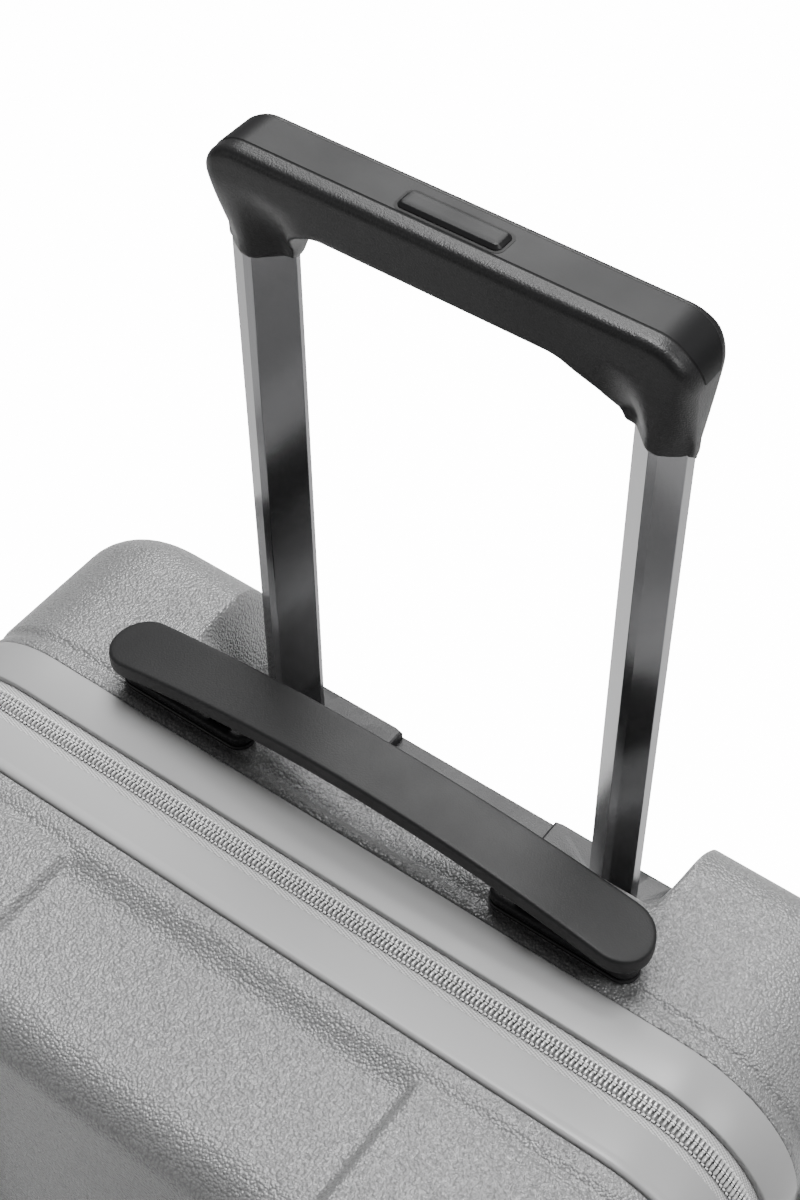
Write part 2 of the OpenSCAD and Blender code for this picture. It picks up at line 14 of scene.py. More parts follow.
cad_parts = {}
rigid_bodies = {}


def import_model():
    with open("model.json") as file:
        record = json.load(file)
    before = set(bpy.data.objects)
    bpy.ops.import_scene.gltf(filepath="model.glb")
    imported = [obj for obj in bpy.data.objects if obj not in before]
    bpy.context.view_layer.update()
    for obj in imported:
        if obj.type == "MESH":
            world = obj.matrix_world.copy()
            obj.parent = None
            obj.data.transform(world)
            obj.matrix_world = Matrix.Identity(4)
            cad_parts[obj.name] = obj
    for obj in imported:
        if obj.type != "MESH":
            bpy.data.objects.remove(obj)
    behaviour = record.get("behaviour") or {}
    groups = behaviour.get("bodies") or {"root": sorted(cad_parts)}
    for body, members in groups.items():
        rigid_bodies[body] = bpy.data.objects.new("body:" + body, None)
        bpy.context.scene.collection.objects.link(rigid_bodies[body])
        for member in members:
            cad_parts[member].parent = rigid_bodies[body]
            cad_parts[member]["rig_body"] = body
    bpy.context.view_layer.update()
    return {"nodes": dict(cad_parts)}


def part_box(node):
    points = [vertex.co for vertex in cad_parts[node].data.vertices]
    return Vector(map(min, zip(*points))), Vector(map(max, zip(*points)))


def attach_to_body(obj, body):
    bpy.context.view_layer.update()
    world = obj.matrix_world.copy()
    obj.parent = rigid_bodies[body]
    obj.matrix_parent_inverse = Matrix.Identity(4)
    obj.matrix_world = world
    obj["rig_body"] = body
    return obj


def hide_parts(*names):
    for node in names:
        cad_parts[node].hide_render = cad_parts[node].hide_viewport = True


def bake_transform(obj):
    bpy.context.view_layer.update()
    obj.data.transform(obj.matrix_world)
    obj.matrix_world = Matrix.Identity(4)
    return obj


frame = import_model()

log = logging.getLogger("suitcase")
MM = 0.001
Point = tuple[float, float, float]
Profile = Sequence[tuple[float, float]]
MeshData = tuple[np.ndarray, list[tuple[int, ...]]]


# ---------------------------------------------------------------- finishes
class Grain(Enum):
    """How the surface of a finish is broken up."""

    PEBBLE = "pebble"
    FINE = "fine"
    BRUSHED = "brushed"
    TWILL = "twill"
    QUILT = "quilt"


@dataclass(frozen=True)
class Finish:
    """One finish: its colour, its gloss and the grain that breaks it up."""

    name: str
    slot: str
    color: tuple[float, float, float]
    roughness: float
    metallic: float = 0.0
    grain: Grain = Grain.FINE
    grain_mm: float = 0.5
    depth_mm: float = 0.02
    # Share by which the colour follows the grain's height: partly grain tone, partly painted shade
    # in the hollows and painted highlight on the tops.
    speckle_and_painted_shade: float = 0.12
    sheen: float = 0.0
    coat: float = 0.0
    specular: float = 0.5

    def material(self) -> bpy.types.Material:
        """Makes the Blender material of this finish, once.

        Returns:
            The material, the same one on every call.
        """
        made = bpy.data.materials.get(self.name)
        if made:
            return made
        made = bpy.data.materials.new(self.name)
        made.use_nodes = True
        tree = made.node_tree
        shader = tree.nodes["Principled BSDF"]
        shader.inputs["Metallic"].default_value = self.metallic
        shader.inputs["Specular IOR Level"].default_value = self.specular
        shader.inputs["Coat Weight"].default_value = self.coat
        shader.inputs["Coat Roughness"].default_value = 0.2
        shader.inputs["Sheen Weight"].default_value = self.sheen
        height = self._height(tree)
        # Colour follows the grain's height, darker in the hollows and lighter on the tops: partly
        # the grain's own tone, partly painted shade and painted highlight.
        shade = _node(tree, "ShaderNodeMix", data_type="RGBA")
        low = [c * (1 - self.speckle_and_painted_shade) for c in self.color]
        high = [min(1, c * (1 + self.speckle_and_painted_shade)) for c in self.color]
        shade.inputs["A"].default_value = (*low, 1)
        shade.inputs["B"].default_value = (*high, 1)
        tree.links.new(height, shade.inputs["Factor"])
        tree.links.new(shade.outputs["Result"], shader.inputs["Base Color"])
        tree.links.new(self._gloss(tree), shader.inputs["Roughness"])
        bump = _node(tree, "ShaderNodeBump")
        bump.inputs["Strength"].default_value = 1.0
        bump.inputs["Distance"].default_value = self.depth_mm * MM
        tree.links.new(height, bump.inputs["Height"])
        tree.links.new(bump.outputs["Normal"], shader.inputs["Normal"])
        return made

    def _height(self, tree: bpy.types.NodeTree) -> bpy.types.NodeSocket:
        """Adds the nodes of the grain.

        Args:
            tree: The material's node tree.

        Returns:
            The socket that gives the grain's height, from 0 to 1.
        """
        where = _node(tree, "ShaderNodeTexCoord")
        scale = 1 / (self.grain_mm * MM)
        if self.grain in (Grain.TWILL, Grain.QUILT):
            return self._weave(tree, where.outputs["UV"])
        if self.grain is Grain.PEBBLE:
            cells = _node(tree, "ShaderNodeTexVoronoi", feature="SMOOTH_F1")
            cells.inputs["Scale"].default_value = scale
            cells.inputs["Smoothness"].default_value = 0.35
            fine = _node(tree, "ShaderNodeTexNoise")
            fine.inputs["Scale"].default_value = scale * 0.9
            fine.inputs["Detail"].default_value = 4
            wide = _node(tree, "ShaderNodeMapRange")
            wide.inputs["From Min"].default_value = 0.85
            wide.inputs["From Max"].default_value = 0.1
            mix = _node(tree, "ShaderNodeMath", operation="MULTIPLY_ADD")
            mix.inputs[1].default_value = 0.55
            scaled = _node(tree, "ShaderNodeMath", operation="MULTIPLY")
            scaled.inputs[1].default_value = 0.6
            tree.links.new(where.outputs["Object"], cells.inputs["Vector"])
            tree.links.new(where.outputs["Object"], fine.inputs["Vector"])
            tree.links.new(cells.outputs["Distance"], wide.inputs["Value"])
            tree.links.new(fine.outputs["Fac"], scaled.inputs[0])
            tree.links.new(wide.outputs["Result"], mix.inputs[0])
            tree.links.new(scaled.outputs[0], mix.inputs[2])
            return mix.outputs[0]
        stretch = _node(tree, "ShaderNodeMapping")
        stretch.inputs["Scale"].default_value = (
            (1, 1, 0.03) if self.grain is Grain.BRUSHED else (1, 1, 1)
        )
        noise = _node(tree, "ShaderNodeTexNoise")
        noise.inputs["Scale"].default_value = scale
        noise.inputs["Detail"].default_value = 2
        tree.links.new(where.outputs["Object"], stretch.inputs["Vector"])
        tree.links.new(stretch.outputs["Vector"], noise.inputs["Vector"])
        return noise.outputs["Fac"]

    def _weave(
        self, tree: bpy.types.NodeTree, uv: bpy.types.NodeSocket
    ) -> bpy.types.NodeSocket:
        """Adds slanted yarns that follow the cloth, crossed by fine ones.

        Args:
            tree: The material's node tree.
            uv: The cloth's own coordinates, in metres.

        Returns:
            The socket that gives the height of the yarns.
        """
        sums = []
        slants = (16, -58) if self.grain is Grain.TWILL else (0, 90)
        for slant, share in zip(slants, (0.7, 0.3)):
            turn = _node(tree, "ShaderNodeMapping")
            turn.inputs["Rotation"].default_value[2] = math.radians(slant)
            wave = _node(
                tree, "ShaderNodeTexWave", wave_type="BANDS", bands_direction="Y"
            )
            wave.inputs["Scale"].default_value = 0.314 / (self.grain_mm * MM)
            wave.inputs["Distortion"].default_value = 0.6
            wave.inputs["Detail"].default_value = 1
            part = _node(tree, "ShaderNodeMath", operation="MULTIPLY")
            part.inputs[1].default_value = share
            tree.links.new(uv, turn.inputs["Vector"])
            tree.links.new(turn.outputs["Vector"], wave.inputs["Vector"])
            tree.links.new(wave.outputs["Fac"], part.inputs[0])
            sums.append(part.outputs[0])
        both = _node(tree, "ShaderNodeMath", operation="ADD")
        tree.links.new(sums[0], both.inputs[0])
        tree.links.new(sums[1], both.inputs[1])
        return both.outputs[0]

    def _gloss(self, tree: bpy.types.NodeTree) -> bpy.types.NodeSocket:
        """Adds faint handling marks.

        Args:
            tree: The material's node tree.

        Returns:
            The socket that gives the roughness.
        """
        where = _node(tree, "ShaderNodeTexCoord")
        marks = _node(tree, "ShaderNodeTexNoise")
        marks.inputs["Scale"].default_value = 35
        marks.inputs["Detail"].default_value = 5
        spread = _node(tree, "ShaderNodeMapRange")
        spread.inputs["From Min"].default_value = 0.35
        spread.inputs["From Max"].default_value = 0.7
        spread.inputs["To Min"].default_value = self.roughness * 0.92
        spread.inputs["To Max"].default_value = min(1, self.roughness * 1.1)
        tree.links.new(where.outputs["Object"], marks.inputs["Vector"])
        tree.links.new(marks.outputs["Fac"], spread.inputs["Value"])
        return spread.outputs["Result"]


def _node(tree: bpy.types.NodeTree, kind: str, **settings: object) -> bpy.types.Node:
    """Adds a node.

    Args:
        tree: Where the node goes.
        kind: Blender's name of the node type.
        **settings: Properties to set on the node.

    Returns:
        The new node.
    """
    node = tree.nodes.new(kind)
    for key, value in settings.items():
        setattr(node, key, value)
    return node


SHELL = Finish("silver_pebbled_shell", "shell", (0.235, 0.235, 0.237), 0.3, metallic=0.25,
               grain=Grain.PEBBLE, grain_mm=1.1, depth_mm=0.7, speckle_and_painted_shade=0.4)
RIM = Finish("satin_silver_rim", "rim", (0.34, 0.34, 0.342), 0.36, grain_mm=0.4,
             depth_mm=0.002, speckle_and_painted_shade=0.015)
TAPE = Finish("herringbone_zip_tape", "zip_tape", (0.50, 0.50, 0.50), 0.8,
              grain=Grain.TWILL, grain_mm=1.0, depth_mm=0.3, speckle_and_painted_shade=0.4, sheen=0.2)
COIL = Finish("silver_zip_coil", "zip_coil", (0.66, 0.66, 0.66), 0.3, metallic=0.3,
              grain_mm=0.4, depth_mm=0.01)
CORE = Finish("grey_coil_core", "zip_coil", (0.10, 0.10, 0.10), 0.7, grain_mm=0.4,
              depth_mm=0.02)
THREAD = Finish("pale_zip_thread", "zip_coil", (0.90, 0.90, 0.90), 0.5, grain_mm=0.3,
                depth_mm=0.02, sheen=0.2)
HARDWARE = Finish("dark_satin_zinc", "zip_metal", (0.13, 0.13, 0.135), 0.34, metallic=0.7,
                  grain_mm=0.4, depth_mm=0.004)
BLACK_TRAY = Finish("black_moulded_tray", "tray_plastic", (0.014, 0.014, 0.015), 0.42,
                    grain_mm=0.6, depth_mm=0.12, speckle_and_painted_shade=0.25)
TUBE = Finish("dark_polished_tube", "tube_metal", (0.27, 0.27, 0.275), 0.15, metallic=0.97,
              grain=Grain.BRUSHED, grain_mm=0.5, depth_mm=0.001, speckle_and_painted_shade=0.05)
FRAME_TUBE = Finish("satin_frame_tube", "frame_tube", (0.42, 0.42, 0.43), 0.35, metallic=1.0,
                    grain=Grain.BRUSHED, grain_mm=0.5, depth_mm=0.002)
GRIP = Finish("black_grained_grip", "grip_plastic", (0.009, 0.009, 0.0095), 0.4,
              grain=Grain.PEBBLE, grain_mm=0.6, depth_mm=0.10, speckle_and_painted_shade=0.3, specular=0.4)
SATIN = Finish("charcoal_satin_cap", "satin_plastic", (0.008, 0.008, 0.0085), 0.42,
               grain_mm=0.35, depth_mm=0.004, speckle_and_painted_shade=0.06, specular=0.22)
HANDLE = Finish("charcoal_soft_handle", "handle_plastic", (0.010, 0.010, 0.0105), 0.5,
                grain_mm=0.7, depth_mm=0.06, speckle_and_painted_shade=0.15, specular=0.4)
# Near-black finish of painted shade, laid in the gaps round the grip cap and the release button.
PAINTED_GAP_SHADE = Finish("painted_gap_shade", "grip_plastic", (0.001, 0.001, 0.001), 0.7, depth_mm=0.0)
ACETAL = Finish("natural_acetal", "yoke_plastic", (0.66, 0.66, 0.63), 0.4, depth_mm=0.004)
STEEL = Finish("bright_steel", "bright_steel", (0.62, 0.62, 0.62), 0.22, metallic=1.0,
               depth_mm=0.002)
DIAL = Finish("black_ribbed_dial", "dial_plastic", (0.02, 0.02, 0.02), 0.3, depth_mm=0.004)
CASTER = Finish("dark_caster_plastic", "caster_plastic", (0.035, 0.035, 0.037), 0.45,
                grain_mm=0.5, depth_mm=0.03, speckle_and_painted_shade=0.15)
TYRE = Finish("black_wheel_rubber", "wheel_rubber", (0.014, 0.014, 0.015), 0.65, grain_mm=0.6,
              depth_mm=0.05, speckle_and_painted_shade=0.25)
HUB = Finish("grey_wheel_hub", "wheel_rubber", (0.22, 0.22, 0.225), 0.4, grain_mm=0.5,
             depth_mm=0.01)
FOOT = Finish("matt_foot_rubber", "foot_rubber", (0.02, 0.02, 0.02), 0.7, grain_mm=0.6,
              depth_mm=0.04)
LINING = Finish("grey_lining_cloth", "lining_cloth", (0.085, 0.088, 0.095), 0.85,
                grain=Grain.QUILT, grain_mm=0.8, depth_mm=0.12, speckle_and_painted_shade=0.25, sheen=0.3)
WEBBING = Finish("black_ribbed_webbing", "strap_webbing", (0.02, 0.02, 0.022), 0.8,
                 grain=Grain.TWILL, grain_mm=1.2, depth_mm=0.25, speckle_and_painted_shade=0.4, sheen=0.3)
FLOOR = Finish("pale_floor", "", (0.85, 0.85, 0.85), 0.8, depth_mm=0.0, speckle_and_painted_shade=0.0)


# ---------------------------------------------------------------- mesh tools
def add_object(name: str, mesh: bpy.types.Mesh, smooth_deg: float) -> bpy.types.Object:
    """Shades a mesh smooth and puts it in the scene.

    Args:
        name: The object's name.
        mesh: Its mesh.
        smooth_deg: Edges that turn more than this stay sharp.

    Returns:
        The new object.
    """
    mesh.shade_smooth()
    mesh.set_sharp_from_angle(angle=math.radians(smooth_deg))
    obj = bpy.data.objects.new(name, mesh)
    bpy.context.scene.collection.objects.link(obj)
    return obj


def finish_piece(
    name: str,
    verts: np.ndarray | Sequence[Point],
    faces: Iterable[Sequence[int]],
    finish: Finish,
    smooth_deg: float = 35,
    uvs: np.ndarray | None = None,
    recalc: bool = True,
) -> bpy.types.Object:
    """Makes a mesh object in metres from points in millimetres.

    Args:
        name: The piece's name.
        verts: Its points.
        faces: Its faces, as indices of the points.
        finish: Its finish.
        smooth_deg: Edges that turn more than this stay sharp.
        uvs: One (u, v) for each point, in metres, for cloth.
        recalc: Turns all faces outwards, for a closed mesh.

    Returns:
        The new object, at the origin.
    """
    mesh = bpy.data.meshes.new(name)
    points = np.asarray(verts, float) * MM
    mesh.from_pydata([tuple(p) for p in points], [], [tuple(f) for f in faces])
    if uvs is not None:
        layer = mesh.uv_layers.new(name="UVMap")
        for loop in mesh.loops:
            layer.data[loop.index].uv = uvs[loop.vertex_index]
    tidy = bmesh.new()
    tidy.from_mesh(mesh)
    bmesh.ops.remove_doubles(tidy, verts=tidy.verts, dist=0.002 * MM)
    if recalc:
        bmesh.ops.recalc_face_normals(tidy, faces=tidy.faces)
    tidy.to_mesh(mesh)
    tidy.free()
    mesh.materials.append(finish.material())
    return add_object(name, mesh, smooth_deg)


def attach(
    obj: bpy.types.Object, body: str, finish: Finish, *replaced: str
) -> bpy.types.Object:
    """Rides a piece on its body and hides what it stands for.

    Args:
        obj: The piece.
        body: The body that carries it.
        finish: Not used.
        *replaced: The CAD nodes that it stands for.

    Returns:
        The same piece.
    """
    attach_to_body(obj, body)
    if replaced:
        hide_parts(*replaced)
    log.info("%s rides on %s", obj.name, body)
    return obj


def bevel(obj: bpy.types.Object, width_mm: float, segments: int = 2, angle: float = 30) -> None:
    """Rounds the sharp edges of a piece.

    Args:
        obj: The piece.
        width_mm: Width of the rounding.
        segments: Faces across the rounding.
        angle: Edges that turn more than this are rounded.
    """
    rounding = obj.modifiers.new("rounding", "BEVEL")
    rounding.width = width_mm * MM
    rounding.segments = segments
    rounding.limit_method = "ANGLE"
    rounding.angle_limit = math.radians(angle)
    rounding.harden_normals = True


def thicken(obj: bpy.types.Object, thick_mm: float) -> None:
    """Gives a cloth its thickness, half to each side.

    Args:
        obj: The cloth.
        thick_mm: The thickness.
    """
    thick = obj.modifiers.new("thickness", "SOLIDIFY")
    thick.thickness = thick_mm * MM
    thick.offset = 0


def body_of(node: str) -> str:
    """Returns the name of the body that carries a CAD node."""
    return frame["nodes"][node]["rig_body"]


def dressed_copy(node: str, finish: Finish, width_mm: float, segments: int = 2) -> bpy.types.Object:
    """Copies a CAD node into a clean mesh with rounded edges.

    Args:
        node: The CAD node.
        finish: The finish of the copy.
        width_mm: Width of the edge rounding.
        segments: Faces across the rounding.

    Returns:
        The piece that stands for the node.
    """
    mesh = bpy.data.meshes.new(node + "_piece")
    tidy = bmesh.new()
    tidy.from_mesh(frame["nodes"][node].data)
    bmesh.ops.remove_doubles(tidy, verts=tidy.verts, dist=0.001 * MM)
    bmesh.ops.dissolve_limit(
        tidy, angle_limit=math.radians(0.5), verts=tidy.verts, edges=tidy.edges
    )
    tidy.to_mesh(mesh)
    tidy.free()
    mesh.materials.clear()
    mesh.materials.append(finish.material())
    obj = add_object(node + "_piece", mesh, 35)
    bevel(obj, width_mm, segments)
    return attach(obj, body_of(node), finish, node)


def ease(t: np.ndarray | float) -> np.ndarray | float:
    """Returns the smooth step of t from 0 to 1."""
    t = np.clip(t, 0, 1)
    return t * t * (3 - 2 * t)


def grid_faces(rows: int, cols: int, wrap: bool, start: int = 0) -> list[tuple[int, ...]]:
    """Lists the quads of a grid of points stored row by row.

    Args:
        rows: Number of rows.
        cols: Number of points in a row.
        wrap: Joins the last column to the first.
        start: Index of the grid's first point.

    Returns:
        The quads.
    """
    quads = []
    for r in range(rows - 1):
        for c in range(cols if wrap else cols - 1):
            d = (c + 1) % cols
            quads.append(
                (start + r * cols + c, start + r * cols + d,
                 start + (r + 1) * cols + d, start + (r + 1) * cols + c)
            )
    return quads


def arc(
    centre: tuple[float, float], r: float, a0: float, a1: float, n: int
) -> list[tuple[float, float]]:
    """Returns n + 1 points of an arc.

    Args:
        centre: Its centre.
        r: Its radius.
        a0: First angle in degrees.
        a1: Last angle in degrees.
        n: Number of steps.

    Returns:
        The points.
    """
    turn = [math.radians(a0 + (a1 - a0) * k / n) for k in range(n + 1)]
    return [(centre[0] + r * math.cos(t), centre[1] + r * math.sin(t)) for t in turn]


def resample(path: Profile, fractions: Sequence[float]) -> np.ndarray:
    """Finds points along a path.

    Args:
        path: The path's points.
        fractions: Shares of its length, from 0 to 1.

    Returns:
        One point for each share.
    """
    p = np.asarray(path, float)
    step = np.r_[0, np.cumsum(np.hypot(*np.diff(p, axis=0).T))]
    at = np.asarray(fractions) * step[-1]
    return np.c_[np.interp(at, step, p[:, 0]), np.interp(at, step, p[:, 1])]


def plate(
    half_l: float,
    half_w: float,
    corner: float,
    profile: Profile,
    along: int = 1,
    round_steps: int = 8,
) -> MeshData:
    """Builds a flat body with a rounded outline from a profile of its edge.

    Args:
        half_l: Half length, along x.
        half_w: Half width, along y.
        corner: Corner radius of the outline.
        profile: (inset, height) pairs from the underside's fill to the top's fill.
        along: Steps along each long side.
        round_steps: Steps round each corner.

    Returns:
        Points and faces.
    """
    top = arc((half_l - corner, half_w - corner), 1, 0, 90, round_steps)
    centre = [(half_l - corner, half_w - corner)] * len(top)
    normal = [(x - half_l + corner, y - half_w + corner) for x, y in top]
    for k in range(1, along):
        centre.append(((half_l - corner) * (1 - 2 * k / along), half_w - corner))
        normal.append((0.0, 1.0))
    for (cx, cy), (nx, ny) in list(zip(centre, normal))[: round_steps + 1][::-1]:
        centre.append((-cx, cy))
        normal.append((-nx, ny))
    half = len(centre)
    centre += [(x, -y) for x, y in centre[::-1]]
    normal += [(x, -y) for x, y in normal[::-1]]
    c, n = np.array(centre), np.array(normal)
    cols = len(c)
    rings = []
    for inset, h in profile:
        over = max(0.0, inset - corner)
        shrink = ((half_l - corner - over) / (half_l - corner),
                  (half_w - corner - over) / (half_w - corner))
        rings.append(np.c_[c * shrink + max(0.0, corner - inset) * n, np.full(cols, h)])
    faces = grid_faces(len(rings), cols, True)
    last = (len(rings) - 1) * cols
    for k in range(half - 1):
        faces.append((k, k + 1, cols - 2 - k, cols - 1 - k))
        faces.append((last + k, last + k + 1, last + cols - 2 - k, last + cols - 1 - k))
    return np.vstack(rings), faces


def placed(points: np.ndarray, origin: Point, x_to: Point, y_to: Point, z_to: Point) -> np.ndarray:
    """Moves points from their own axes into the case's.

    Args:
        points: The points.
        origin: Where their origin goes.
        x_to: Where their x axis points.
        y_to: Where their y axis points.
        z_to: Where their z axis points.

    Returns:
        The moved points.
    """
    return points @ np.array([x_to, y_to, z_to], float) + np.array(origin, float)


def lathe(
    profile: Profile, steps: int = 48, origin: Point = (0, 0, 0), axis: str = "z"
) -> MeshData:
    """Turns a profile of (radius, height) pairs round an axis, closed at both ends.

    Args:
        profile: The profile.
        steps: Steps round the axis.
        origin: A point of the axis.
        axis: The axis, x, y or z.

    Returns:
        Points and faces.
    """
    turn = np.linspace(0, 2 * math.pi, steps, endpoint=False)
    rings = [np.c_[r * np.cos(turn), r * np.sin(turn), np.full(steps, h)] for r, h in profile]
    points = np.vstack(rings)
    faces = grid_faces(len(rings), steps, True)
    if profile[0] != profile[-1]:
        faces.append(tuple(range(steps)))
        faces.append(tuple(range(len(points) - steps, len(points))))
    order = {"z": (0, 1, 2), "x": (2, 0, 1), "y": (1, 2, 0)}[axis]
    return points[:, order] + np.array(origin, float), faces


def merged(parts: Sequence[MeshData]) -> MeshData:
    """Joins several sets of points and faces into one.

    Args:
        parts: The sets.

    Returns:
        Points and faces.
    """
    points, faces, start = [], [], 0
    for p, f in parts:
        points.append(np.asarray(p, float))
        faces += [tuple(i + start for i in face) for face in f]
        start += len(p)
    return np.vstack(points), faces


# ---------------------------------------------------------------- repeated parts
def repeat_tree(name: str) -> bpy.types.NodeTree:
    """Builds the node tree that sets one shape along a path at a fixed pitch.

    Args:
        name: The tree's name.

    Returns:
        The tree, whose inputs are Path, Shape, Pitch, Finish and Wobble.
    """
    tree = bpy.data.node_groups.new(name, "GeometryNodeTree")
    face = tree.interface
    face.new_socket("Path", in_out="INPUT", socket_type="NodeSocketGeometry")
    face.new_socket("Shape", in_out="INPUT", socket_type="NodeSocketObject")
    face.new_socket("Pitch", in_out="INPUT", socket_type="NodeSocketFloat")
    face.new_socket("Finish", in_out="INPUT", socket_type="NodeSocketMaterial")
    face.new_socket("Wobble", in_out="INPUT", socket_type="NodeSocketFloat")
    face.new_socket("Pieces", in_out="OUTPUT", socket_type="NodeSocketGeometry")
    given = _node(tree, "NodeGroupInput")
    out = _node(tree, "NodeGroupOutput")
    curve = _node(tree, "GeometryNodeMeshToCurve")
    even = _node(tree, "GeometryNodeResampleCurve", mode="LENGTH")
    tangent = _node(tree, "GeometryNodeInputTangent")
    align = _node(tree, "FunctionNodeAlignRotationToVector", axis="X", pivot_axis="Y")
    shape = _node(tree, "GeometryNodeObjectInfo")
    wobble = _node(tree, "FunctionNodeRandomValue", data_type="FLOAT")
    wobble.inputs["Seed"].default_value = 7
    low = _node(tree, "ShaderNodeMath", operation="SUBTRACT")
    low.inputs[0].default_value = 1.0
    put = _node(tree, "GeometryNodeInstanceOnPoints")
    real = _node(tree, "GeometryNodeRealizeInstances")
    paint = _node(tree, "GeometryNodeSetMaterial")
    link = tree.links.new
    link(given.outputs["Path"], curve.inputs["Mesh"])
    link(curve.outputs["Curve"], even.inputs["Curve"])
    link(given.outputs["Pitch"], even.inputs["Length"])
    link(tangent.outputs["Tangent"], align.inputs["Vector"])
    link(given.outputs["Shape"], shape.inputs["Object"])
    link(given.outputs["Wobble"], low.inputs[1])
    link(low.outputs[0], wobble.inputs[2])
    wobble.inputs[3].default_value = 1.0
    link(even.outputs["Curve"], put.inputs["Points"])
    link(shape.outputs["Geometry"], put.inputs["Instance"])
    link(align.outputs["Rotation"], put.inputs["Rotation"])
    link(wobble.outputs[1], put.inputs["Scale"])
    link(put.outputs["Instances"], real.inputs["Geometry"])
    link(real.outputs["Geometry"], paint.inputs["Geometry"])
    link(given.outputs["Finish"], paint.inputs["Material"])
    link(paint.outputs["Geometry"], out.inputs["Pieces"])
    return tree


def repeat_along(
    name: str,
    paths: Sequence[np.ndarray],
    shape: MeshData,
    pitch_mm: float,
    finish: Finish,
    wobble: float = 0.0,
) -> bpy.types.Object:
    """Sets a small shape at a fixed pitch along open paths, as one plain mesh.

    Args:
        name: The piece's name.
        paths: Points in millimetres of each path.
        shape: Points and faces of the shape, with x along the path.
        pitch_mm: Distance from one to the next.
        finish: The finish of the shapes.
        wobble: Share by which single shapes come out smaller.

    Returns:
        The finished piece.
    """
    tree = bpy.data.node_groups.get("repeat_along_path") or repeat_tree("repeat_along_path")
    source = finish_piece(name + "_shape", shape[0], shape[1], finish, 60)
    points = np.vstack(paths) * MM
    edges, start = [], 0
    for p in paths:
        edges += [(start + k, start + k + 1) for k in range(len(p) - 1)]
        start += len(p)
    line = bpy.data.meshes.new(name + "_path")
    line.from_pydata([tuple(p) for p in points], edges, [])
    host = bpy.data.objects.new(name + "_path", line)
    bpy.context.scene.collection.objects.link(host)
    maker = host.modifiers.new("repeat", "NODES")
    maker.node_group = tree
    sockets = {s.name: s.identifier for s in tree.interface.items_tree if s.in_out == "INPUT"}
    maker[sockets["Shape"]] = source
    maker[sockets["Pitch"]] = pitch_mm * MM
    maker[sockets["Finish"]] = finish.material()
    maker[sockets["Wobble"]] = wobble
    bpy.context.view_layer.update()
    graph = bpy.context.evaluated_depsgraph_get()
    mesh = bpy.data.meshes.new_from_object(host.evaluated_get(graph))
    bpy.data.objects.remove(host)
    bpy.data.objects.remove(source)
    mesh.name = name
    return add_object(name, mesh, 60)


def capsule(half_x: float, half_y: float, half_z: float, steps: int = 6) -> MeshData:
    """Returns a small rounded bar that lies along y.

    Args:
        half_x: Half size along the path.
        half_y: Half length.
        half_z: Half height.
        steps: Steps round the bar.

    Returns:
        Points and faces.
    """
    ends = [(0.35, -1.0), (0.85, -0.8), (1.0, -0.4), (1.0, 0.4), (0.85, 0.8), (0.35, 1.0)]
    turn = np.linspace(0, 2 * math.pi, steps, endpoint=False)
    points = np.vstack(
        [np.c_[half_x * r * np.cos(turn), np.full(steps, half_y * y), half_z * r * np.sin(turn)]
         for r, y in ends]
    )
    faces = grid_faces(len(ends), steps, True)
    faces += [tuple(range(steps)), tuple(range(len(points) - steps, len(points)))]
    return points, faces


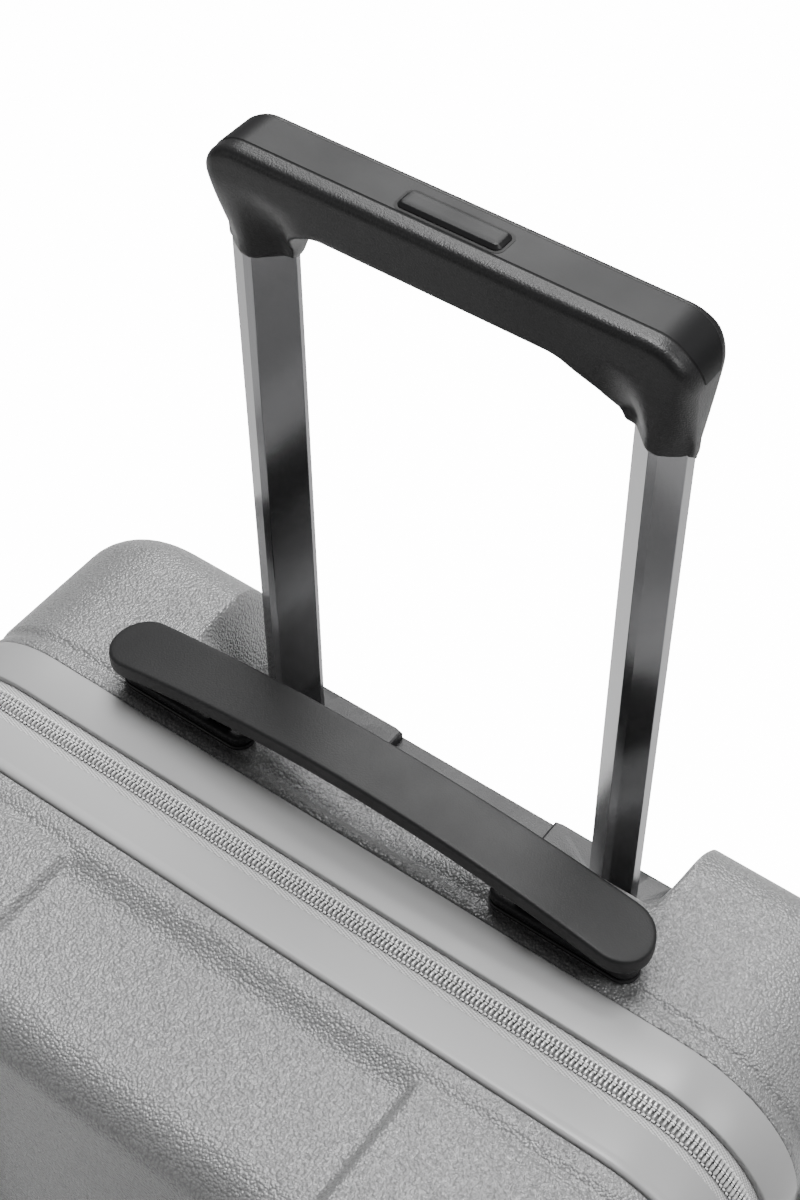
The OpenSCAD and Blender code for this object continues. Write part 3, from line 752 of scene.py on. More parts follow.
# ---------------------------------------------------------------- the case
@dataclass(frozen=True)
class CaseForm:
    """Outline and depths of the case in millimetres, read from the frame."""

    half_w: float
    z0: float
    z1: float
    front_y: float
    rear_y: float
    zip_y: float
    tray_z: float
    corner_r: float = 52.0
    edge_r: float = 24.0
    corner_steps: int = 8
    hinge_half: float = 150.0

    @classmethod
    def from_frame(cls) -> "CaseForm":
        """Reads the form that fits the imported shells.

        Returns:
            The form, in millimetres.
        """
        low, high = (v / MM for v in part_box("rear_shell"))
        tape_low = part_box("rear_zip_tape")[0] / MM
        return cls(
            half_w=high.x, z0=low.z, z1=high.z, front_y=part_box("front_shell")[0].y / MM,
            rear_y=high.y, zip_y=tape_low.y - 0.4, tray_z=(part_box("trolley_tray")[0] / MM).z,
        )

    @property
    def mid_z(self) -> float:
        """Height of the middle of the shells."""
        return (self.z0 + self.z1) / 2

    def _stations(self) -> tuple[np.ndarray, np.ndarray]:
        """Places the columns on the straight sides, closer where the shells change.

        Returns:
            The x places and the z places.
        """
        hx = self.half_w - self.corner_r
        hz = (self.z1 - self.z0) / 2 - self.corner_r
        recess_side, panel_side = np.linspace(96, 114, 17), np.linspace(77, 86, 10)
        fine = np.r_[recess_side, panel_side]
        xs = np.r_[np.arange(-hx, hx + 1, 4), fine, -fine]
        pocket_ends = np.r_[np.linspace(-132, -122, 5), np.linspace(82, 92, 5)]
        zs = np.r_[np.linspace(-hz, hz, 73), pocket_ends]
        return _thinned(xs, hx), _thinned(zs, hz)

    def columns(self) -> tuple[np.ndarray, np.ndarray, int, int]:
        """Lays out the columns round the case, clockwise from the upper left corner.

        Returns:
            Corner or side centres, outward normals, and the number of columns on the
            top and on the right, corners counted twice.
        """
        xs, zs = self._stations()
        hx, hz = xs[-1], zs[-1]
        n = self.corner_steps
        sides = [
            ((-hx, hz), 135, [(x, hz) for x in xs[1:-1]], (hx, hz), 90),
            ((hx, hz), 45, [(hx, z) for z in zs[-2:0:-1]], (hx, -hz), 0),
            ((hx, -hz), -45, [(x, -hz) for x in xs[-2:0:-1]], (-hx, -hz), -90),
            ((-hx, -hz), -135, [(-hx, z) for z in zs[1:-1]], (-hx, hz), -180),
        ]
        centre, angle = [], []
        for first, start, straight, second, flat in sides:
            centre += [first] * (n + 1) + straight + [second] * n
            angle += list(np.linspace(start, flat, n + 1)) + [flat] * len(straight)
            angle += list(np.linspace(flat, flat - 45, n + 1)[:-1])
        turn = np.radians(angle)
        c = np.array(centre) + (0, self.mid_z)
        return c, np.c_[np.cos(turn), np.sin(turn)], 2 * n + len(xs), 2 * n + len(zs)

    def rings(self, rows: Profile) -> np.ndarray:
        """Runs rows of points round the whole case.

        Args:
            rows: The (y, inset) pair of each row.

        Returns:
            Points [row, column].
        """
        c, n, _, _ = self.columns()
        out = []
        for y, inset in rows:
            flat = c + (self.corner_r - inset) * n
            out.append(np.c_[flat[:, 0], np.full(len(c), y), flat[:, 1]])
        return np.array(out)

    def patch(self, ring: np.ndarray) -> np.ndarray:
        """Fills the face inside a ring with a grid, rows from the top down.

        Args:
            ring: The ring's points, one for each column.

        Returns:
            Points [row, column].
        """
        _, _, nt, nr = self.columns()
        loop = np.vstack([ring, ring[:1]])
        top = loop[:nt]
        right = loop[nt - 1 : nt - 1 + nr]
        bottom = loop[nt + nr - 2 : 2 * nt + nr - 2][::-1]
        left = loop[2 * nt + nr - 3 :][::-1]
        u = ((top[:, 0] - top[0, 0]) / (top[-1, 0] - top[0, 0]))[None, :, None]
        v = ((left[0, 2] - left[:, 2]) / (left[0, 2] - left[-1, 2]))[:, None, None]
        lines = (1 - v) * top[None] + v * bottom[None]
        lines = lines + (1 - u) * left[:, None] + u * right[:, None]
        corners = (1 - u) * (1 - v) * top[0] + u * (1 - v) * top[-1]
        corners = corners + (1 - u) * v * bottom[0] + u * v * bottom[-1]
        return lines - corners

    def run(self, step: float = 3.0) -> tuple[np.ndarray, np.ndarray, np.ndarray]:
        """Follows the outline from one end of the fabric hinge to the other.

        Args:
            step: Distance between points on the straight sides.

        Returns:
            Centres, outward normals and lengths along the outline.
        """
        hx = self.half_w - self.corner_r
        hz = (self.z1 - self.z0) / 2 - self.corner_r
        stops = [(-hx, self.hinge_half, 180), (-hx, hz, 180), (hx, hz, 90), (hx, -hz, 0),
                 (-hx, -hz, -90), (-hx, -self.hinge_half, -180)]
        centre, angle = [], []
        for (x0, z0, _), (x1, z1, flat) in zip(stops[:-1], stops[1:]):
            count = max(2, int(math.hypot(x1 - x0, z1 - z0) / step))
            centre += list(zip(np.linspace(x0, x1, count), np.linspace(z0, z1, count)))
            angle += [flat] * count
            if (x1, z1) != (stops[-1][0], stops[-1][1]):
                centre += [(x1, z1)] * 15
                angle += list(np.linspace(flat, flat - 90, 17)[1:-1])
        turn = np.radians(angle)
        c = np.array(centre) + (0, self.mid_z)
        n = np.c_[np.cos(turn), np.sin(turn)]
        outline = c + self.corner_r * n
        length = np.r_[0, np.cumsum(np.hypot(*np.diff(outline, axis=0).T))]
        keep = np.r_[True, np.diff(length) > 0.01]
        return c[keep], n[keep], length[keep]

    def line(self, y: float, inset: float) -> np.ndarray:
        """Follows the zip's run at one depth.

        Args:
            y: The depth.
            inset: How far the line lies inside the outline.

        Returns:
            The line's points.
        """
        c, n, _ = self.run()
        flat = c + (self.corner_r - inset) * n
        return np.c_[flat[:, 0], np.full(len(c), y), flat[:, 1]]


def _thinned(places: np.ndarray, end: float) -> np.ndarray:
    """Sorts places, keeps both ends and drops any that are too close together.

    Args:
        places: The places, from -end to end.
        end: The last place.

    Returns:
        The places that are left.
    """
    kept = [-end]
    for p in sorted(places):
        if p - kept[-1] > 0.7 and end - p > 0.7:
            kept.append(float(p))
    return np.array(kept + [end])


@dataclass
class Shells:
    """The two moulded shells with their recesses and raised panels."""

    form: CaseForm
    wall: float = 2.8
    recess_out: float = 112.0
    recess_in: float = 98.0
    recess_front: float = 74.0
    lip_gap: float = 27.3
    seat_in: float = 2.9
    recess_round: float = 9.0
    floor_round: float = 5.0
    scoop_half: float = 53.0
    scoop_depth: float = 8.0
    scoop_y0: float = 31.0
    scoop_y1: float = 50.0
    pocket_depth: float = 16.0
    pocket_half: float = 107.0
    pocket_drop: float = 20.0
    pocket_y0: float = 37.0
    pocket_y1: float = 68.0
    panel_x: float = 79.0
    panel_y: float = 37.0
    panel_h: float = 5.0

    def build(self) -> None:
        """Builds and dresses both shells."""
        self._rear()
        self._front()

    def _close(self, name: str, rings: np.ndarray, patch: np.ndarray, body: str, node: str,
               drop: Callable[[np.ndarray], bool] | None = None) -> None:
        """Joins rings and face into a shell with a wall and a cloth inside.

        Args:
            name: The piece's name.
            rings: Points [row, column] round the case.
            patch: Points [row, column] of the face.
            body: The body that carries it.
            node: The CAD node that it stands for.
            drop: Tells which faces are left open, from their centre.
        """
        rows, cols = rings.shape[:2]
        faces = grid_faces(rows, cols, True)
        faces += grid_faces(patch.shape[0], patch.shape[1], False, rows * cols)
        points = np.vstack([rings.reshape(-1, 3), patch.reshape(-1, 3)])
        if drop:
            faces = [f for f in faces if not drop(points[list(f)].mean(0))]
        obj = finish_piece(name, points, faces, SHELL, 50)
        mesh = obj.data
        outward = sum(p.normal.y * p.area for p in mesh.polygons)
        if outward * (1 if body == "rear_case" else -1) < 0:
            mesh.flip_normals()
        mesh.materials.append(LINING.material())
        wall = obj.modifiers.new("wall", "SOLIDIFY")
        wall.thickness = self.wall * MM
        wall.offset = -1
        wall.material_offset = 1
        wall.material_offset_rim = 0
        attach(obj, body, SHELL, node)

    def _rear(self) -> None:
        """Builds the rear shell with its handle recess, finger scoop and side pocket."""
        f = self.form
        lip = f.zip_y + self.lip_gap
        rows = [(y, self.seat_in) for y in (f.zip_y + 8, f.zip_y + 9, lip - 8, lip - 0.3)]
        rows += [(lip - 0.1, 2.8), (lip, 0.9), (lip + 0.2, 0.35), (lip + 0.7, 0.05)]
        rows += [(lip + 1.5, 0.0), (lip + 2.5, 0.0), (lip + 3.5, 0.05)]
        rows += [(lip + 3.5 + k * 0.8, 1.15 * math.sin(math.pi * k / 10) ** 1.5)
                 for k in range(1, 10)]
        split = self.recess_front - self.recess_round
        rows += [(y, 0.0) for y in np.linspace(lip + 11.8, split, 12)]
        start = len(rows) - 1
        top_y = f.rear_y - f.edge_r
        rows += [(y, 0.0) for y in np.linspace(split, top_y, 13)[1:]]
        turn = len(rows) - 1
        rows += [(top_y + f.edge_r * math.sin(a), f.edge_r * (1 - math.cos(a)))
                 for a in np.linspace(0, math.pi / 2, 15)[1:]]
        rings = f.rings(rows)
        patch = f.patch(rings[-1])
        _, _, nt, _ = f.columns()
        self._scoop(rings[:, :nt])
        self._pocket(rings)
        deep = int(np.argmin(abs(patch[:, nt // 2, 2] - (f.tray_z - 36))))
        self._recess(rings[start:, :nt], patch[: deep + 1], turn - start)
        rings[-1, :nt] = patch[0]

        tube = sum(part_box("inner_tube_right"), Vector()) / 2 / MM

        def over_tube(p: np.ndarray) -> bool:
            """Tells whether a face lies over a trolley tube."""
            near = abs(abs(p[0]) - tube.x) < 15 and abs(p[1] - tube.y) < 11
            return near and abs(p[2] - f.tray_z) < 1.5

        self._close("rear_shell_piece", rings, patch, "rear_case", "rear_shell", over_tube)

    def _recess(self, rings: np.ndarray, patch: np.ndarray, turn: int) -> None:
        """Sinks the recess of the trolley handle into the top and the rear face.

        Args:
            rings: Points of the top columns from the recess's front edge to the face.
            patch: Points of the face's upper rows.
            turn: The row where the rounding of the rear edge starts.
        """
        f, front, floor = self.form, self.recess_front, self.form.tray_z
        lead, low = self.recess_round, self.floor_round
        wall = [(front - lead, f.z1)] + arc((front - lead, f.z1 - lead), lead, 90, 0, 8)
        wall += [(front, floor + 6)]
        base = arc((front + low, floor + low), low, 180, 270, 6) + [(f.rear_y - low, floor)]
        share = ease((self.recess_out - abs(rings[0, :, 0])) / (self.recess_out - self.recess_in))
        share = share[None, :, None]
        spans = [(rings[: turn + 1], wall), (rings[turn:], base)]
        ways = []
        for rows, path in spans:
            ways.append(resample(path, np.linspace(0, 1, len(rows))))
        inner = np.vstack([ways[0], ways[1][1:]])
        rings[:, :, 1:] = rings[:, :, 1:] * (1 - share) + inner[:, None, :] * share
        for i in range(patch.shape[1]):
            w = float(share[0, i, 0])
            if w <= 0:
                continue
            back = arc((f.rear_y - low, floor - low), low, 90, 0, 6)
            back += [(f.rear_y, patch[-1, i, 2])]
            steps = np.r_[0, np.cumsum(-np.diff(patch[:, i, 2]))]
            inside = resample(back, steps / steps[-1])
            patch[:, i, 1:] = patch[:, i, 1:] * (1 - w) + inside * w

    def _scoop(self, rings: np.ndarray) -> None:
        """Sinks the finger scoop under the top handle.

        Args:
            rings: Points [row, column] of the top columns, changed in place.
        """
        x, y = rings[:, :, 0], rings[:, :, 1]
        across = np.clip(1 - (x / self.scoop_half) ** 2, 0, 1) ** 1.4
        along = ease((y - self.scoop_y0) / 9) * (1 - ease((y - self.scoop_y1) / 7))
        straight = abs(x) < self.scoop_half
        rings[:, :, 2] -= self.scoop_depth * across * along * straight

    def _pocket(self, rings: np.ndarray) -> None:
        """Sinks the finger pocket behind the side handle.

        Args:
            rings: Points [row, column] round the case, changed in place.
        """
        f = self.form
        y, z = rings[:, :, 1], rings[:, :, 2] - (f.mid_z - self.pocket_drop)
        right = rings[:, :, 0] > f.half_w - 1
        deep = ease((self.pocket_half - abs(z)) / 6)
        deep = deep * ease((y - self.pocket_y0) / 4) * ease((self.pocket_y1 - y) / 4)
        rings[:, :, 0] -= self.pocket_depth * deep * right

    def _front(self) -> None:
        """Builds the front shell with its raised side panels."""
        f = self.form
        lip = f.zip_y - self.lip_gap
        reach = f.edge_r - self.panel_h
        rows = [(y, self.seat_in, 0, 0) for y in (f.zip_y - 8, lip + 8, lip + 0.3)]
        rows += [(lip + 0.1, 2.8, 0, 0), (lip, 0.9, 0, 0), (lip - 0.3, 0.3, 0, 0)]
        rows += [(lip - 1, 0, 0, 0), (lip - 3, 0, 0, 0), (lip - 4.5, 0.1, 0, 0)]
        rows += [(lip - 5 - 1.2 * k, self.panel_h * ease(k / 12), 0, ease(k / 12))
                 for k in range(1, 12)]
        base_y = f.front_y + f.edge_r
        rows += [(y, self.panel_h, 0, 1) for y in np.linspace(lip - 19.4, base_y, 18)]
        rows += [(base_y - reach * math.sin(a), f.edge_r - reach * math.cos(a),
                  -math.sin(a), math.cos(a)) for a in np.linspace(0, math.pi / 2, 13)[1:]]
        rings = f.rings([r[:2] for r in rows])
        patch = f.patch(rings[-1])
        _, n, _, _ = f.columns()
        raised = self.panel_h * self._raised(rings[:, :, 0], rings[:, :, 1])
        for k, (_, _, out_y, out_n) in enumerate(rows):
            rings[k, :, 1] += raised[k] * out_y
            rings[k, :, (0, 2)] += (n * raised[k][:, None] * out_n).T
        patch[:, :, 1] -= self.panel_h * self._raised(patch[:, :, 0], patch[:, :, 1])
        self._close("front_shell_piece", rings, patch, "front_case", "front_shell")

    def _raised(self, x: np.ndarray, y: np.ndarray) -> np.ndarray:
        """Returns where the side panels stand proud, from 0 to 1."""
        side = ease((abs(x) - self.panel_x + 1) / 6)
        return side * ease((self.form.zip_y - self.panel_y + 1 - y) / 6)


@dataclass
class RimAndZip:
    """The satin rim bands, the zip tapes, the coil and the sliders."""

    form: CaseForm
    band_gap: float = 8.0
    band_w: float = 19.0
    proud: float = 0.8
    tape_in: float = 1.8
    pitch: float = 2.0

    def build(self) -> None:
        """Builds the bands, the tapes and everything on the zip."""
        for name, side, body in (("rear", 1, "rear_case"), ("front", -1, "front_case")):
            self._band(name, side, body)
            self._tape(name, side, body)
            self._coil(name, side, body)
        self._hinge()
        for which in ("upper", "lower"):
            dressed_copy(f"zip_slider_{which}", HARDWARE, 0.8, 3)
            dressed_copy(f"zip_pull_{which}", HARDWARE, 0.5, 3)

    def _band(self, name: str, side: int, body: str) -> None:
        """Sweeps one rim band round the case.

        Args:
            name: Rear or front.
            side: 1 for the rear and -1 for the front.
            body: The body that carries it.
        """
        w, t, r = self.band_w, 3.2, 0.7
        section = arc((r, r), r, 270, 180, 3) + arc((r, w - r), r, 180, 90, 3)
        if side < 0:
            section = arc((r, r), r, 270, 180, 3) + [(0.1, w - 5), (0.0, w - 4), (-0.15, w - 3)]
            section += arc((1.4, w - 1.6), 1.6, 180, 90, 4)
        section += [(t, w), (t, 0)]
        rows = [(self.form.zip_y + side * (self.band_gap + y), x - self.proud) for x, y in section]
        rings = self.form.rings(rows + rows[:1])
        faces = grid_faces(len(rings), rings.shape[1], True)
        obj = finish_piece(f"{name}_rim_band_piece", rings.reshape(-1, 3), faces, RIM, 40)
        attach(obj, body, RIM, f"{name}_rim_band")

    def _strip(self, name: str, y0: float, y1: float, inset: float, thick: float,
               finish: Finish) -> bpy.types.Object:
        """Sweeps a flat strip along the zip's run.

        Args:
            name: The piece's name.
            y0: One edge.
            y1: The other edge.
            inset: Inset of its outer face.
            thick: Its thickness.
            finish: Its finish.

        Returns:
            The strip, with its run in u and its width in v.
        """
        c, n, length = self.form.run()
        places = [(y0, inset), (y1, inset), (y1, inset + thick), (y0, inset + thick)]
        lines = [self.form.line(y, i) for y, i in places]
        count = len(c)
        points = np.vstack(lines)
        uvs = np.vstack([np.c_[length, np.full(count, y)] for y, _ in places]) * MM
        faces = []
        for a in range(4):
            b = (a + 1) % 4
            faces += [(a * count + k, a * count + k + 1, b * count + k + 1, b * count + k)
                      for k in range(count - 1)]
        faces += [(0, count, 2 * count, 3 * count)]
        faces += [(count - 1, 2 * count - 1, 3 * count - 1, 4 * count - 1)]
        return finish_piece(name, points, faces, finish, 30, uvs)

    def _tape(self, name: str, side: int, body: str) -> None:
        """Makes one woven tape of the zip.

        Args:
            name: Rear or front.
            side: 1 for the rear and -1 for the front.
            body: The body that carries it.
        """
        z = self.form.zip_y
        obj = self._strip(f"{name}_zip_tape_piece", z + side * 0.4,
                          z + side * (self.band_gap - 0.25), self.tape_in, 1.1, TAPE)
        attach(obj, body, TAPE, f"{name}_zip_tape")

    def _coil(self, name: str, side: int, body: str) -> None:
        """Makes the teeth of one coil and the threads that sew it down.

        Args:
            name: Rear or front.
            side: 1 for the rear and -1 for the front.
            body: The body that carries it.
        """
        z = self.form.zip_y
        core = self._strip(f"{name}_coil_core", z + side * 0.25, z + side * 3.3, 0.9, 0.85, CORE)
        attach(core, body, COIL)
        teeth = repeat_along(f"{name}_zip_coil_piece", [self.form.line(z + side * 1.85, 0.5)],
                             capsule(0.62, 1.45, 1.0), self.pitch, COIL)
        attach(teeth, body, COIL, f"{name}_zip_coil")
        stitch = capsule(0.8, 0.42, 0.42)
        for row, (across, inset) in {"edge": (3.55, 0.9), "middle": (0.5, -0.25)}.items():
            thread = repeat_along(f"{name}_zip_thread_{row}",
                                  [self.form.line(z + side * across, inset)], stitch,
                                  self.pitch, THREAD, 0.2)
            attach(thread, body, COIL)

    def _hinge(self) -> None:
        """Makes the fabric hinge strip between the shells, bowed outward across its width."""
        f = self.form
        half, length, rows, cols = 7.6, 2 * f.hinge_half - 2, 60, 9
        ys = np.linspace(f.zip_y - half, f.zip_y + half, cols)
        zs = np.linspace(f.mid_z - length / 2, f.mid_z + length / 2, rows)
        bow = 1.0 + 0.5 * np.cos((ys - f.zip_y) / half * math.pi / 2)
        points = np.array([(-f.half_w + 2.6 - b, y, z) for z in zs for y, b in zip(ys, bow)])
        uvs = np.array([(z, y) for z in zs for y in ys]) * MM
        obj = finish_piece("hinge_strip_piece", points, grid_faces(rows, cols, False), TAPE, 60,
                           uvs, recalc=False)
        thicken(obj, 0.9)
        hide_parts("hinge_strip")
        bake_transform(obj)


# ---------------------------------------------------------------- trolley
# Faces of the left tube's section: direction in degrees, distance from its middle.
TUBE_FACES = ((0, 11.4), (90, 6.0), (135, 10.2), (180, 11.4), (242, 7.6), (270, 6.8),
              (313, 5.0))


@dataclass
class Trolley:
    """The tray, the telescopic tubes and the grip with its release button."""

    tube_x: float = 78.5
    tube_y: float = 92.5
    top_r: float = 16.0
    arch_r: float = 20.0
    end_r: float = 7.0
    cap_y0: float = 86.2
    cap_y1: float = 102.0
    pad_x: float = 39.0
    pad_h: float = 5.0
    leg_half: float = 12.6
    collar_wall: float = 1.3

    def build(self) -> None:
        """Builds and dresses the trolley."""
        self._tray()
        dressed_copy("tube_foot", BLACK_TRAY, 1.0)
        dressed_copy("middle_tube_collars", BLACK_TRAY, 0.15)
        dressed_copy("tube_plugs", BLACK_TRAY, 0.3)
        for side in ("left", "right"):
            dressed_copy(f"outer_tube_{side}", FRAME_TUBE, 0.3)
            dressed_copy(f"middle_tube_{side}", FRAME_TUBE, 0.3)
            dressed_copy(f"inner_tube_{side}", TUBE, 0.55, 3)
        dressed_copy("release_yoke", ACETAL, 0.4)
        dressed_copy("button_springs", STEEL, 0.1)
        self._grip_body()
        # The first strip lies just under the cap and reaches past its edges: a near-black strip of
        # painted shade that shows as the dark slit line round the cap.
        for name, grow, spread, finish in (
            ("grip_slit", 0.12, 0.45, PAINTED_GAP_SHADE), ("grip_cap_piece", 0.35, 0.0, SATIN),
        ):
            self._cap(name, grow, spread, finish)
        self._button()

    def _wedge(self, turn: np.ndarray, grow: float) -> np.ndarray:
        """Returns how far the section of the left tube reaches in each direction.

        Args:
            turn: The directions, in degrees.
            grow: How far its faces are moved out.

        Returns:
            One distance for each direction.
        """
        reach = [(d + grow) / np.maximum(np.cos(np.radians(turn - a)), 1e-3)
                 for a, d in TUBE_FACES]
        return np.min(reach, axis=0)

    def _tray(self) -> None:
        """Builds the black floor of the recess, with a raised pad round each tube."""
        low, high = (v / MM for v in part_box("trolley_tray"))
        mid = (low + high) / 2
        top = high.z - self.pad_h
        profile = [(0.8, low.z), (0, low.z + 0.6), (0, top - 0.8), (0.8, top), (3, top)]
        base, base_faces = plate(high.x - 0.2, (high.y - low.y) / 2, 3, profile, 12, 5)
        parts = [(base + (0, mid.y, 0), base_faces)]
        turn = np.linspace(0, 360, 120, endpoint=False)
        c, n = np.cos(np.radians(turn)), np.sin(np.radians(turn))
        walls = (self.tube_x - self.pad_x, self.tube_y - low.y - 0.6, high.x - self.tube_x - 0.6,
                 high.y - 0.6 - self.tube_y)
        outer = np.minimum(np.where(c > 0, walls[0], walls[2]) / np.maximum(abs(c), 1e-3),
                           np.where(n > 0, walls[3], walls[1]) / np.maximum(abs(n), 1e-3))
        hole = self._wedge(turn, 2.4)
        for side in (1, -1):
            rings = []
            for reach, z in ((outer, top - 1), (outer, high.z - 1.4),
                             (outer - 0.5, high.z - 0.5), (outer - 1.4, high.z),
                             (hole + 1.2, high.z), (hole + 0.3, high.z - 0.4),
                             (hole, high.z - 1.2), (hole, top - 1)):
                rings.append(np.c_[side * (reach * c - self.tube_x), reach * n + self.tube_y,
                                   np.full(len(turn), z)])
            rings.append(rings[0])
            parts.append((np.vstack(rings), grid_faces(len(rings), len(turn), True)))
        obj = finish_piece("trolley_tray_piece", *merged(parts), BLACK_TRAY, 30)
        attach(obj, "rear_case", BLACK_TRAY, "trolley_tray")

    def _stations(
        self, half: float, z0: float, z1: float
    ) -> list[tuple[float, float, float, float]]:
        """Lists the sections of the grip's right half, from the middle out.

        Args:
            half: Half width of the grip.
            z0: Lower end of its legs.
            z1: Its top.

        Returns:
            (x, lower end, upper end, shrink in depth) of each section.
        """
        inner, under, bow = self.tube_x - self.leg_half, z0 + 26, self.arch_r
        start = inner - 3.4 - bow
        spots = [(x, under) for x in np.linspace(0, start, 12)[:-1]]
        spots += arc((start, under - bow), bow, 90, 20, 16)
        spots += [(inner - 3.4 + 0.75 * k, z0 + 10 - 2.2 * k) for k in range(5)]
        spots += [(inner + 0.4, z0 + 0.3), (inner + 1.6, z0)]
        spots += [(x, z0) for x in np.linspace(inner + 4, half - self.top_r, 4)]
        spots += [(half - self.top_r + self.top_r * math.sin(a), z0)
                  for a in np.linspace(0, math.pi / 2, 16)[1:]]
        out = []
        for x, low in spots:
            over = max(0.0, x - half + self.top_r)
            high = z1 - self.top_r + math.sqrt(max(0.0, self.top_r ** 2 - over ** 2))
            late = min(self.end_r, max(0.0, x - half + self.end_r))
            out.append((x, low, high, self.end_r - math.sqrt(self.end_r ** 2 - late ** 2)))
        return out

    def _grip_body(self) -> None:
        """Builds the grip's crossbar and its two legs, which taper into slim collars."""
        low, high = (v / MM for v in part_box("grip_body"))
        deep, bend = (high.y - low.y) / 2, 3.4
        half = self._stations(high.x, low.z, high.z)
        sections = [(-x, a, b, c) for x, a, b, c in half[:0:-1]] + half
        rings = []
        for x, z0, z1, shrink in sections:
            q = min(bend, (z1 - z0) / 2 - 0.3)
            a = np.linspace(0, math.pi / 2, 6)
            rise = [(q * (1 - math.sin(t)), z0 + q * (1 - math.cos(t))) for t in a]
            rise += [(0.0, z) for z in np.linspace(z0 + q, z1 - q, 16)[1:-1]]
            rise += [(q * (1 - math.cos(t)), z1 - q + q * math.sin(t)) for t in a]
            inset, z = np.array(rise).T
            local = float(np.clip(self.tube_x - abs(x), -self.leg_half, self.leg_half))
            slim = np.clip((high.z - 13 - z) / (high.z - low.z - 20), 0, 1) ** 1.2
            slim = slim * ease((abs(x) - 50) / 18)
            limits = [(d + self.collar_wall - math.cos(math.radians(t)) * local)
                      / math.sin(math.radians(t)) for t, d in TUBE_FACES if t % 180]
            far, near = min(limits[:2]), min(0.0, max(limits[2:]))
            front = -deep + (max(near, -deep) + deep) * slim
            back = deep - (deep - max(far, 2.0)) * slim
            reach = (back - front) / 2 * (1 - shrink / deep)
            reach = np.maximum(reach - inset, 0.3)
            mid_y = self.tube_y + (front + back) / 2
            over = max(0.0, abs(x) - self.tube_x)
            xs = x - math.copysign(0.1 * over, x) * slim
            rings.append(np.c_[np.r_[xs, xs[::-1]], np.r_[mid_y - reach, (mid_y + reach)[::-1]],
                               np.r_[z, z[::-1]]])
        count = len(rings[0])
        faces = grid_faces(len(rings), count, True)
        faces += [tuple(range(count)), tuple(range((len(rings) - 1) * count, len(rings) * count))]
        body = finish_piece("grip_body_piece", np.vstack(rings), faces, GRIP, 50)
        attach(body, "grip", GRIP, "grip_body")

    def _button(self) -> None:
        """Builds the release button and, under its edge, a near-black plate of painted shade for
        the gap that it sits in.
        """
        low, high = (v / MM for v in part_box("release_button"))
        half_l, half_w = (high.x - low.x) / 2, (high.y - low.y) / 2
        centre = (0.0, (low.y + high.y) / 2, 0.0)
        profile = [(3, low.z), (0, low.z), (0, high.z - 1.6), (0.15, high.z - 1.2),
                   (1.3, high.z - 0.15), (1.8, high.z), (3.5, high.z)]
        points, faces = plate(half_l, half_w, 2.6, profile, 8)
        button = finish_piece("release_button_piece", points + centre, faces, SATIN, 25)
        attach(button, "button", SATIN, "release_button")
        # A near-black plate a little wider than the button, just under its top: painted shade in
        # the gap round the button.
        gap = plate(half_l + 1.0, half_w + 0.9, 3.2, [(4, high.z - 2.4), (0, high.z - 2.4),
                                                     (0, high.z - 1.55), (4, high.z - 1.55)], 8)
        well = finish_piece("button_well", gap[0] + centre, gap[1], PAINTED_GAP_SHADE, 25)
        attach(well, "grip", PAINTED_GAP_SHADE)

    def _cap(self, name: str, grow: float, spread: float, finish: Finish) -> None:
        """Lays a strip over the top and the shoulders of the grip. In the near-black gap finish it
        is painted shade for the slit round the cap.

        Args:
            name: The piece's name.
            grow: How far it stands over the grip's body.
            spread: How far it reaches past the cap's edges.
            finish: Its finish.
        """
        low, high = (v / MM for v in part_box("grip_body"))
        half, z1, r = high.x, high.z, self.top_r
        side = arc((half - r, z1 - r), r, 6, 90, 16)
        path = side + [(x, z1) for x in np.linspace(half - r, r - half, 12)[1:-1]]
        path += [(-x, z) for x, z in side[::-1]]
        route = np.array(path)
        turn = np.gradient(route, axis=0)
        out = np.c_[turn[:, 1], -turn[:, 0]]
        out /= np.linalg.norm(out, axis=1)[:, None]
        y0, y1 = self.cap_y0 - spread, self.cap_y1 + spread
        soft = 0.5
        section = [(-1.5, y0), (grow - 0.3, y0), (grow, y0 + soft), (grow, y1 - soft),
                   (grow - 0.3, y1), (-1.5, y1)]
        mid = (low.y + high.y) / 2
        late = np.clip(abs(route[:, 0]) - half + self.end_r, 0, self.end_r)
        slim = self.end_r - np.sqrt(self.end_r ** 2 - late ** 2)
        keep = 1 - slim / (high.y - mid)
        rings = [np.c_[route[:, 0] + out[:, 0] * h, mid + (y - mid) * keep,
                       route[:, 1] + out[:, 1] * h] for h, y in section + section[:1]]
        count = len(route)
        faces = grid_faces(len(rings), count, False)
        ends = [k * count for k in range(len(section))]
        faces += [tuple(ends), tuple(e + count - 1 for e in ends)]
        obj = finish_piece(name, np.vstack(rings), faces, finish, 30)
        attach(obj, "grip", finish, *(("grip_cap",) if finish is SATIN else ()))


